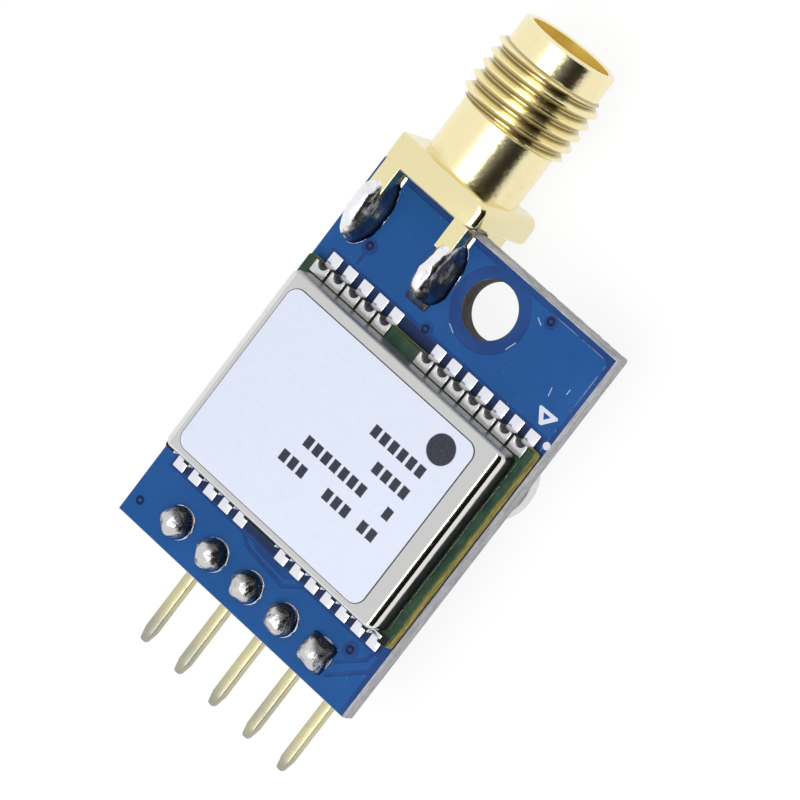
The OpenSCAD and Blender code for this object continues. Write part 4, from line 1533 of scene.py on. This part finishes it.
    def _roll(self, top: float) -> list[tuple[float, float]]:
        """Height and inset of the can's rolled edge, from its wall up.

        Args:
            top: height of the can's flat.

        Returns:
            Pairs of a height and an inset from the wall.
        """
        steps, turned, drop, inset = 5, 0.0, 0.0, 0.0
        made = [(drop, inset)]
        for limit, r in self.can_roll:
            start, turned = turned, math.radians(limit)
            for k in range(steps):
                a, b = (start + (turned - start) * (k + end) / steps for end in (0, 1))
                drop, inset = drop + r * (math.cos(a) - math.cos(b)), inset + r * (math.sin(b) - math.sin(a))
                made.append((drop, inset))
        return [(top - fall, inset - reach) for fall, reach in reversed(made)]

    def _flux(self) -> None:
        """A thin wandering bead of flux along the can's right foot."""
        shell = Shell()
        foot = self._can_box[2] + 0.09
        start, end, count, sides = self.y + 0.9, self.y + self.width - 0.9, 220, 8
        turns = [math.pi * i / sides for i in range(sides + 1)]
        rings = []
        for k in range(count + 1):
            y = start + (end - start) * k / count
            sway = lump(y * 0.9, 3.0, 0.0) * 0.06 + lump(y * 5.3, 8.0, 0.0) * 0.05
            size = max(0.012, 0.05 + 0.07 * lump(y * 2.7, 5.0, 0.0))
            rings.append([
                (foot + sway - size * math.cos(a), y, self.deck + size * 0.8 * math.sin(a)) for a in turns])
        shell.loft(rings)
        place("foot_flux", shell.mesh("foot_flux"), (FLUX,), "board_green", (), 60.0)

    def _label(self) -> None:
        """The label on the can, with a dark cut edge."""
        shell = Shell()
        x0, y0, x1, y1 = self._can_box
        left, low, right, high = self.label_edges
        z = self.deck + self.can_h
        rings = []
        for lift, i in ((0.0, 0.0), (0.8, 0.012), (1.0, 0.05)):
            outline = round_rect(
                x0 + left + i, y0 + low + i, x1 - right - i, y1 - high - i, self.label_r - i, 10)
            rings.append(flat(outline, z + self.label_t * lift))
        shell.loft(rings, 1, (1, 0))
        place("label", shell.mesh("label"), (LABEL_PAPER, LABEL_EDGE), "label", ("can_label",), 20.0)


# The antenna jack


@dataclass
class AntennaJack:
    """Gold jack at the board's edge: flange, legs, neck, thread, nose, and the solder at its legs."""

    x: float = JACK_X
    z: float = JACK_Z
    flange_y: float = 22.55
    flange: float = 6.35
    flange_t: float = 1.5
    flange_r: float = 0.5
    flange_edge: float = 0.12
    flange_ends: tuple[float, float, float, float] = (0.6, 0.12, 0.05, 0.3)
    leg_l: float = 4.1
    front_l: float = 1.75
    leg_gap: float = 3.9
    leg_w: float = 0.95
    leg_low: float = 0.05
    back_leg: tuple[float, float] = (-3.45, BACK_PAD_Z)
    neck_r: float = 2.675
    neck_l: float = 3.1
    thread_r: float = 3.1
    root_r: float = 2.74
    thread_l: float = 3.6
    pitch: float = 0.7056
    nose_r: float = 2.7
    nose_l: float = 1.45
    chamfer: float = 0.12
    mouth_r: float = 2.3
    mouth_l: float = 1.9
    mouth_edge: float = 0.07
    bore_r: float = 2.05
    count: int = 120
    turn_rows: int = 16
    edge: float = 0.03
    pad_half: float = 0.64
    rim_half: float = 1.07
    # Height and half width of each lens of solder
    front_lens: tuple[float, float] = (1.62, 0.95)
    back_lens: tuple[float, float] = (1.28, 0.98)
    tail_lens: tuple[float, float] = (1.42, 0.84)

    @property
    def tip(self) -> float:
        """Y of the jack's open end."""
        return self.flange_y + self.flange_t + self.neck_l + self.thread_l + self.nose_l

    @property
    def leg_x(self) -> float:
        """Distance from the jack's axis to the middle of a leg."""
        return (self.leg_gap + self.leg_w) / 2

    def build(self) -> None:
        """Makes the jack and dresses its insulator, contact and solder."""
        shell = Shell()
        self._flange(shell)
        self._legs(shell)
        shell.add(self._barrel())
        place("jack", shell.mesh("jack"), (GOLD, BORE_BOUNCE_GOLD, FLANGE_GOLD), "gold", ("jack_body",), 20.0)
        dress("jack_insulator", WAX)
        dress("jack_contact", GOLD)
        self._leg_solder()

    def _flange(self, shell: Shell) -> None:
        """Adds the square flange: long edges rolled over, the right front corner well rounded.

        Args:
            shell: the mesh to add to.
        """
        half, back, front = self.flange / 2, self.flange_y, self.flange_y + self.flange_t
        turns, steps = quarter(6), 8
        levels = [(self.z - half + self.flange_r * (1 - math.sin(t)), t) for t in reversed(turns)]
        levels += [(self.z + half - self.flange_r * (1 - math.sin(t)), t) for t in turns]
        rings = []
        for z, t in levels:
            side, end = self.flange_r * (1 - math.cos(t)), self.flange_edge * (1 - math.cos(t))
            ring = []
            for number, r in enumerate(self.flange_ends):
                plan = round_rect(self.x - half + side, back, self.x + half - side, front - end, r, steps)
                corner = number * (steps + 1)
                ring += flat(plan[corner:corner + steps + 1], z)
            rings.append(ring)
        shell.loft(rings, 2, (2, 2))

    def _legs(self, shell: Shell) -> None:
        """Adds straight legs behind the flange: two over the board and two under it.

        Args:
            shell: the mesh to add to.
        """
        over = (self.flange_y - self.front_l, self.leg_low, self.z + self.flange / 2)
        under = (self.flange_y - self.leg_l, *self.back_leg)
        half = self.leg_w / 2
        for at in (self.x - self.leg_x, self.x + self.leg_x):
            for start, low, high in (over, under):
                rings = []
                for y, i in ((start, self.edge), (start + self.edge, 0.0), (self.flange_y, 0.0)):
                    outline = round_rect(at - half + i, low + i, at + half - i, high - i, self.edge, 2)
                    rings.append([(x, y, z) for x, z in outline])
                shell.loft(rings, 2, (2, 2))

    def _barrel(self) -> bpy.types.Mesh:
        """Neck, thread and nose by one rule of the radius, with the bore turned inside.

        Returns:
            The barrel's mesh.
        """
        start = self.flange_y + 0.3
        neck_end = self.flange_y + self.flange_t + self.neck_l
        end = self.tip - self.chamfer
        shell = Shell()
        shell.add(self._threaded(start, neck_end, end))
        side = (
            (self.nose_r, end), (self.nose_r - 0.05, self.tip - 0.03), (self.nose_r - self.chamfer, self.tip),
            (self.mouth_r + self.mouth_edge, self.tip), (self.mouth_r, self.tip - self.mouth_edge),
            (self.mouth_r, self.tip - self.mouth_l), (self.bore_r, self.tip - self.mouth_l),
            (self.bore_r, start), (self.neck_r, start),
        )
        rings = [shell.ring([(v, y, u) for u, v in circle(r, self.count)]) for r, y in side]
        shell.chain(rings[:5])
        shell.chain(rings[4:], 1)
        bmesh.ops.remove_doubles(shell.bm, verts=shell.bm.verts, dist=2e-3)
        bmesh.ops.translate(shell.bm, vec=(self.x, 0.0, self.z), verts=shell.bm.verts)
        return shell.mesh("barrel")

    def _threaded(self, start: float, neck_end: float, end: float) -> bpy.types.Mesh:
        """The barrel's outside: a grid rolled up by a rule of the radius, with its rows along the thread.

        Args:
            start: Y at which it starts, inside the flange.
            neck_end: Y at which the thread starts.
            end: Y at which the nose's chamfer starts.

        Returns:
            An open tube about the Y axis.
        """
        rows = math.ceil((end - start) / self.pitch + 1) * self.turn_rows
        recipe = Recipe("threaded_barrel", {
            "Segments": self.count, "Rows": rows, "Rows In A Turn": self.turn_rows,
            "Start": start, "End": end, "Thread Start": neck_end, "Thread End": neck_end + self.thread_l,
            "Neck Radius": self.neck_r, "Nose Radius": self.nose_r,
            "Crest Radius": self.thread_r, "Root Radius": self.root_r, "Pitch": self.pitch,
        })
        size = recipe.size
        grid = recipe.get("GeometryNodeMeshGrid", None, {
            "Size X": 1.0, "Size Y": 1.0, "Vertices X": size("Segments") + 1, "Vertices Y": size("Rows") + 1,
        })
        spot = recipe.node("ShaderNodeSeparateXYZ", None, {0: recipe.get("GeometryNodeInputPosition")})
        turn, share = (out + 0.5 for out in recipe.outs(spot, 0, 1))
        turns = share * size("Rows") / size("Rows In A Turn")
        along = size("Start") + (turns + turn - 1) * size("Pitch")
        along = along.high(size("Start")).low(size("End"))
        ridge = (abs(turns.fract() * 2 - 1) - 0.125) / 0.75
        cut = size("Root Radius") + ridge.high(0).low(1) * (size("Crest Radius") - size("Root Radius"))
        cut = cut.low(size("Neck Radius") + (along - size("Thread Start")) * 1.7)
        cut = cut.low(size("Nose Radius") + (size("Thread End") - along) * 1.5)
        wider = size("Nose Radius") - size("Neck Radius")
        radius = (size("Neck Radius") + (along > size("Thread Start")) * wider).high(cut)
        angle = turn * math.tau
        moved = recipe.get("GeometryNodeSetPosition", None, {
            "Geometry": grid, "Position": recipe.xyz(radius * angle.sine(), along, radius * angle.cosine()),
        })
        closed = recipe.get("GeometryNodeMergeByDistance", None, {"Geometry": moved, "Distance": 1e-4})
        return recipe.run(closed, GOLD)

    def _leg_solder(self) -> None:
        """Lens-shaped solder over each leg's end and round the contact's tail, the tin under it, and a solder
        slab in painted shade at the right pad's end.
        """
        pads, rims, ends = Shell(), Shell(), Shell()
        for side, name, shift, y0, y1, blunt in (
            (-1, "left", -0.02, 17.86, 22.05, 2.1), (1, "right", 0.16, 18.05, 21.75, 4.5),
        ):
            leg = self.x + side * self.leg_x
            x, middle, reach = leg + shift, (y0 + y1) / 2, (y1 - y0) / 2 * 1.01
            self._blob(
                f"leg_solder_front_{name}", (x, y0, y1), self.leg_low, self.front_lens, side * 11.0,
                Side.FRONT, blunt)
            self._blob(
                f"leg_solder_back_{name}", (leg, 17.95, 21.95), BACK_PAD_Z, self.back_lens, side * 5.0 + 40,
                Side.BACK)
            pads.block((leg - self.pad_half, 18.2, 0.0), (leg + self.pad_half, 22.24, 0.05), 0.035, 0.10)
            rims.loft([
                [(x + self.rim_half * u, middle + reach * v, z) for u, v in circle(k, 72)]
                for k, z in ((1.0, 0.0), (1.0, 0.03), (0.97, 0.05))])
        self._blob("tail_solder", (self.x, 19.5, 22.2), BACK_PAD_Z, self.tail_lens, 77.0, Side.BACK)
        right = self.x + self.leg_x
        # A low solder slab at the right pad's end, fully in the painted shade of the leg solder's finish.
        ends.block((right - 0.62, 17.78, 0.0), (right + 0.80, 19.4, 0.09), 0.05, 0.16)
        place("jack_pads", pads.mesh("jack_pads"), (TIN,), "tin", ("front_pads",))
        place("leg_rims", rims.mesh("leg_rims"), (TIN,), "tin")
        place("pad_end_solder", ends.mesh("pad_end_solder"), (LEG_SOLDER,), "solder")

    @staticmethod
    def _blob(
        node: str, run: tuple[float, float, float], foot: float, lens: tuple[float, float], seed: float,
        side: Side, blunt: float = 2.1,
    ) -> None:
        """One lens of solder along Y.

        Args:
            node: the CAD node that it stands for.
            run: its X and the ends of its length.
            foot: height of the pad that it stands on.
            lens: its height above the pad and half its width.
            seed: place in the noise.
            side: the face of the board that it stands on.
            blunt: how square its low end is; 2 is round.
        """
        shell = Shell()
        x, y0, y1 = run
        high, half = lens
        rows, count = 44, 32
        rings = []
        for j in range(rows + 1):
            t = -math.cos(math.pi * j / rows)
            swell = max(1e-3, 1 - abs(t) ** (blunt if t < 0 else 2.1))
            w, h = half * swell ** 0.5 + 0.012, high * swell ** 0.46 + 0.008
            ring = []
            for k in range(count + 1):
                u = 2 * k / count - 1
                px = w * math.copysign(abs(u) ** 0.8, u)
                pz = h * (1 - (abs(px) / w) ** 2.5)
                px *= 1 + 0.10 * max(0.0, abs(px) / w - 0.8) / 0.2
                at = Vector((px * 1.3 + seed, t * 2.2, pz * 1.3))
                bulge = 1 + 0.09 * lump(*at) + 0.035 * lump(*(at * 3.1))
                ring.append((
                    x + px * bulge, (y0 + y1) / 2 + t * (y1 - y0) / 2,
                    foot + side.value * max(0.0, pz * bulge)))
            rings.append(ring)
        shell.loft(rings)
        finish = LEG_SOLDER if side is Side.FRONT else SOLDER
        place(node + "_shown", shell.mesh(node), (finish,), "solder", (node,), 60.0)


# The pin header


@dataclass
class PinHeader:
    """Bent gold pins in a black block behind the board, with their joints on its front."""

    first: float = PIN_FIRST
    y: float = PIN_ROW
    pitch: float = PIN_PITCH
    count: int = 5
    pin: float = 0.6
    pin_edge: float = 0.07
    rise: float = 0.8
    bend_z: float = -4.29
    bend_r: float = 1.1
    reach: float = 5.6
    tip: tuple[float, float] = (0.7, 0.34)
    pad_r: float = 0.885
    pad_top: float = 0.06
    square_pad: float = 0.86
    joint_r: float = 0.865
    lean: tuple[float, float] = (-0.045, -0.04)
    joint_h: float = 0.95
    joint_z: float = 0.05

    def build(self) -> None:
        """Makes the pins, dresses the block, makes the pads and joints."""
        self._pins()
        soften("header_block", BLOCK_NYLON, "block_black", 0.07)
        pads = Shell()
        r, top = self.pad_r, self.pad_top
        side = ((0.02, 0.0), (r, 0.0), (r, 0.035), (r - 0.03, top), (0.02, top))
        for i in range(self.count):
            x = self.first + i * self.pitch
            pads.lathe(side, (x, self.y, 0.0), 40)
            if i == self.count - 1:
                half = r * self.square_pad
                pads.block((x - half, self.y - half, 0.0), (x + half, self.y + half, top), 0.03, 0.06)
            self._joint(i, x)
        place("header_pads", pads.mesh("header_pads"), (TIN,), "tin", ("front_pads",))

    def _pins(self) -> None:
        """One pin along its bend, copied along the header."""
        end, low = -self.y - self.reach, self.bend_z - self.bend_r
        stations = [
            (0.0, self.rise, 0.0, self.pin * 0.7), (0.0, self.rise - 0.12, 0.0, self.pin),
            (0.0, self.bend_z, 0.0, self.pin)]
        stations += [
            (-self.bend_r * (1 - math.cos(a)), self.bend_z - self.bend_r * math.sin(a), a, self.pin)
            for a in quarter(10)[1:]]
        stations += [(y, low, math.pi / 2, size) for y, size in (
            (end + self.tip[0], self.pin), (end + 0.08, self.tip[1] + 0.05), (end, self.tip[1] - 0.06))]
        rings = []
        for y, z, a, size in stations:
            h = size / 2
            section = round_rect(-h, -h, h, h, self.pin_edge * size / self.pin, 3)
            rings.append([(u, y + v * math.cos(a), z + v * math.sin(a)) for u, v in section])
        shell = Shell()
        shell.loft(rings)
        recipe = Recipe("header_pins", {
            "Pin": shell.unit("header_pin_unit"), "Count": self.count, "Pitch": self.pitch,
            "First": self.first, "Row": self.y,
        })
        row = recipe.line(
            recipe.size("Count"), recipe.xyz(recipe.size("First"), recipe.size("Row"), 0.0),
            recipe.xyz(recipe.size("Pitch"), 0.0, 0.0))
        mesh = recipe.run(recipe.copies(row, recipe.unit("Pin")), PIN_GOLD)
        place("header_pins", mesh, (PIN_GOLD,), "pin_gold", [f"header_pin_{i + 1}" for i in range(self.count)])

    def _joint(self, i: int, x: float) -> None:
        """One solder joint: a drawn-up dome with the pin's blunt end under its skin.

        Args:
            i: its number; the last one is square.
            x: its place.
        """
        shell = Shell()
        square = i == self.count - 1
        rows, count = 18, 40
        rings = []
        for j in range(rows + 1):
            t = j / rows
            lift = math.sin(math.pi / 2 * t) ** 1.05
            dome = math.cos(math.pi / 2 * t * 0.97) ** 0.86
            ring = []
            for k in range(count):
                a = math.tau * k / count + 0.2
                c, s = math.cos(a), math.sin(a)
                r = self.joint_r * dome
                if square:
                    corner = min(1 / max(abs(c), abs(s)), 1.3)
                    r *= 0.98 * (1 + (corner - 1) * (1 - t) ** 1.5)
                at = Vector((c * r * 1.7 + i * 9.0, s * r * 1.7, lift * 1.8))
                facet = 0.06 * math.cos(4 * a + i) * math.sin(math.pi * t)
                r *= 1 + 0.10 * lump(*at) * min(1.0, t * 4) + facet
                dent = 1 + 0.06 * lump(*(at * 1.9 + Vector((0, 0, 5))))
                ring.append((
                    x + self.lean[0] + c * r, self.y + self.lean[1] + s * r,
                    self.joint_z + self.joint_h * lift * dent))
            rings.append(ring)
        shell.loft(rings)
        node = f"header_solder_{i + 1}"
        place(node + "_shown", shell.mesh(node), (JOINT,), "solder", (node,), 50.0)


# Parts on the back and under the can


@dataclass
class SmallParts:
    """Parts on the back of the board and under the can."""

    face: float = BACK_PAD_Z
    end_h: float = 0.26
    end_l: float = 0.24
    diode_h: float = 0.9
    regulator_h: float = 1.1
    mark_t: float = 0.008
    two_ended: Sequence[tuple[float, float, float, float]] = (
        (9.2, 7.2, 2.0, 1.2), (4.4, 10.4, 2.0, 1.2), (9.2, 10.4, 2.0, 1.2), (9.2, 4.6, 1.6, 0.74),
        (12.6, 4.6, 1.6, 0.74), (3.55, 16.2, 1.6, 0.74))

    def build(self) -> None:
        """Rounds and dresses every part, and adds its feet and solder."""
        table: tuple[tuple[str, Finish, str, float], ...] = (
            ("back_pads", TIN, "tin", 0.012),
            ("backup_cell", CELL_STEEL, "cell_metal", 0.06),
            ("cell_tab_cap", CELL_STEEL, "cell_metal", 0.03),
            ("cell_tab_case", CELL_STEEL, "cell_metal", 0.03),
            ("regulator_body", BLACK_CASE, "chip_black", 0.05),
            ("regulator_leads", TIN, "tin", 0.025),
            ("capacitor_bodies", TAN_CERAMIC, "ceramic_tan", 0.05),
            ("capacitor_ends", TIN, "tin", 0.07),
            ("lamp_resistor", BLACK_CASE, "chip_black", 0.03),
            ("lamp_resistor_ends", TIN, "tin", 0.05),
            ("feed_coil", GREY_FERRITE, "ceramic_grey", 0.04),
            ("feed_coil_ends", TIN, "tin", 0.05),
            ("lamp_base", LAMP_BOARD, "lamp_white", 0.02),
            ("lamp_lens", LAMP_RESIN, "lamp_clear", 0.08),
            ("lamp_ends", PIN_GOLD, "pin_gold", 0.03),
            ("cell_diode", BLACK_CASE, "chip_black", 0.05),
            ("cell_diode_leads", TIN, "tin", 0.025),
            ("receiver_chip", BLACK_CASE, "chip_black", 0.04),
            ("oscillator", LID_METAL, "lid_metal", 0.08),
            ("band_filter", TAN_CERAMIC, "ceramic_tan", 0.04),
            ("clock_crystal", LID_METAL, "lid_metal", 0.1),
            ("module_passives", TAN_CERAMIC, "ceramic_tan", 0.04),
        )
        for node, finish, slot, edge in table:
            soften(node, finish, slot, edge)
        self._feet()
        self._details()

    def _feet(self) -> None:
        """Solder wedges at the ends of the small parts."""
        curve = (
            (0.0, 0.0), (self.end_l * 0.98, 0.0), (self.end_l * 0.5, 0.05), (self.end_l * 0.2, 0.13),
            (0.03, self.end_h), (0.0, self.end_h))
        shell = Shell()
        for x, y, length, wide in self.two_ended:
            for way in (-1, 1):
                end = x + way * length / 2
                shell.loft([
                    [(end + way * u, y + side * wide / 2 * (1 - 0.25 * (h > 0.1)), self.face - h)
                     for u, h in curve] for side in (-1, -0.6, 0.6, 1)])
        place("foot_solder", shell.mesh("foot_solder"), (SOLDER,), "solder", (), 50.0)

    def _details(self) -> None:
        """Plain marks that such parts carry: a bar on the diode and a dot on the regulator."""
        ink = Shell()
        t = self.mark_t
        low = self.face - self.diode_h
        ink.block((7.92, 13.10, low - t), (8.16, 14.30, low + 0.01), 0.004, 0.02)
        dot = ((0.01, 0.0), (0.14, 0.0), (0.13, -t), (0.01, -t))
        ink.lathe(dot, (3.25, 6.75, self.face - self.regulator_h), 20)
        place("part_marks", ink.mesh("part_marks"), (INK,), "label")


# The studio


@dataclass
class Studio:
    """Pale floor, soft light from above, a dark flag beside the camera, and the camera."""

    focal: float = 276.75
    sensor: float = 36.0
    clip: tuple[float, float] = (0.01, 20.0)
    eye: Point = (115.172, 58.825, 277.651)
    right: Point = (0.68579, 0.59610, -0.41756)
    up: Point = (-0.61977, 0.77909, 0.09431)
    back: Point = (0.38154, 0.19411, 0.90374)
    ambient: float = 0.55
    softbox: float = 1.08
    softbox_size: float = 0.36
    softbox_at: Point = (0.09, -0.09, 0.45)
    floor_half: float = 4.0
    floor_light: float = 0.80
    floor_shade: float = 0.15
    floor_glow: float = 0.88
    flag_far: float = 0.4
    flag_turns: tuple[float, float] = (-41.0, 41.0)
    flag_lifts: tuple[float, float] = (6.0, 68.0)
    flag_grid: tuple[int, int] = (24, 16)
    flag_tint: Colour = (0.010, 0.008, 0.005)

    def build(self) -> None:
        """Makes the stage and the camera."""
        self._camera()
        self._world()
        self._floor()
        self._lights()
        self._flag()
        bpy.context.scene.view_settings.view_transform = "Standard"

    def _camera(self) -> None:
        """The camera at the photograph's viewing angle."""
        data = bpy.data.cameras.new("camera")
        data.lens, data.sensor_width = self.focal, self.sensor
        data.clip_start, data.clip_end = self.clip
        eye = add_object("camera", data)
        turn = Matrix((self.right, self.up, self.back)).transposed().to_4x4()
        eye.matrix_world = Matrix.Translation(Vector(self.eye) * MM) @ turn
        bpy.context.scene.camera = eye

    @staticmethod
    def _seen(tree: Tree) -> Sock:
        """One for rays that show the background: from the camera, from metal and through glass."""
        names = ("Is Camera Ray", "Is Glossy Ray", "Is Transmission Ray")
        return reduce(Sock.high, tree.outs(tree.node("ShaderNodeLightPath"), *names))

    def _world(self) -> None:
        """White where it is seen, a softer white as light."""
        world = bpy.data.worlds.new("studio_world")
        tree = Tree(emptied(world))
        sky = tree.get("ShaderNodeBackground", None, {
            "Color": (1.0, 1.0, 1.0), "Strength": self._seen(tree) * (1 - self.ambient) + self.ambient})
        tree.node("ShaderNodeOutputWorld", None, {"Surface": sky})
        bpy.context.scene.world = world

    @staticmethod
    def _card(
        name: str, points: Sequence[Point], faces: Sequence[Sequence[int]], cover: Callable[[Tree], Sock],
    ) -> bpy.types.Object:
        """A plain surface of the stage.

        Args:
            name: its name.
            points, faces: its mesh, in metres.
            cover: writes the nodes of its material and returns its shader.

        Returns:
            The surface.
        """
        mesh = bpy.data.meshes.new(name)
        mesh.from_pydata(points, [], faces)
        material = bpy.data.materials.new(name + "_cover")
        tree = Tree(emptied(material))
        tree.node("ShaderNodeOutputMaterial", None, {"Surface": cover(tree)})
        mesh.materials.append(material)
        made = add_object(name, mesh)
        return made

    def _floor(self) -> None:
        """A wide pale floor that keeps a soft shadow."""

        def cover(tree: Tree) -> Sock:
            """Pale paper as light, and nearly white where it is seen.

            Args:
                tree: the material's tree.

            Returns:
                The shader.
            """
            plain, shade = (
                tree.get("ShaderNodeBsdfDiffuse", None, {"Color": (grey,) * 3})
                for grey in (self.floor_light, self.floor_shade))
            glow = tree.get("ShaderNodeEmission", None, {
                "Color": (1.0, 1.0, 1.0), "Strength": self.floor_glow})
            shown = tree.get("ShaderNodeAddShader", None, {0: shade, 1: glow})
            return tree.get("ShaderNodeMixShader", None, {0: self._seen(tree), 1: plain, 2: shown})

        half = self.floor_half
        corners = ((-half, -half, 0), (half, -half, 0), (half, half, 0), (-half, half, 0))
        self._card("floor", corners, ((0, 1, 2, 3),), cover)

    def _lights(self) -> None:
        """One large soft light above."""
        data = bpy.data.lights.new("softbox", "AREA")
        data.shape, data.size, data.energy = "DISK", self.softbox_size, self.softbox
        lamp = add_object("softbox", data)
        lamp.location = Vector(self.softbox_at)
        lamp.rotation_mode = "QUATERNION"
        lamp.rotation_quaternion = Vector(self.softbox_at).to_track_quat("Z", "Y")

    def _flag(self) -> None:
        """A dark curved flag on the camera's side, which only metal and gloss show."""
        columns, rows = self.flag_grid
        (turn, turn_end), (lift, lift_end) = self.flag_turns, self.flag_lifts
        points, faces = [], []
        for i in range(columns + 1):
            a = math.radians(turn + (turn_end - turn) * i / columns)
            for j in range(rows + 1):
                e = math.radians(lift + (lift_end - lift) * j / rows)
                way = (math.cos(e) * math.cos(a), math.cos(e) * math.sin(a), math.sin(e))
                points.append([self.flag_far * w for w in way])
        for i in range(columns):
            for j in range(rows):
                k = i * (rows + 1) + j
                faces.append((k, k + rows + 1, k + rows + 2, k + 1))
        flag = self._card("flag", points, faces, lambda tree: tree.get(
            "ShaderNodeEmission", None, {"Color": self.flag_tint, "Strength": 1.0}))
        flag.visible_camera = flag.visible_diffuse = flag.visible_shadow = flag.visible_transmission = False


def main() -> None:
    """Builds the stage and every sub-assembly."""
    logging.basicConfig(level=logging.INFO, format="%(name)s %(message)s")
    for assembly in (Studio(), CarrierBoard(), Receiver(), AntennaJack(), PinHeader(), SmallParts()):
        LOG.info("building %s", type(assembly).__name__)
        assembly.build()


if __name__ == "__main__":
    main()
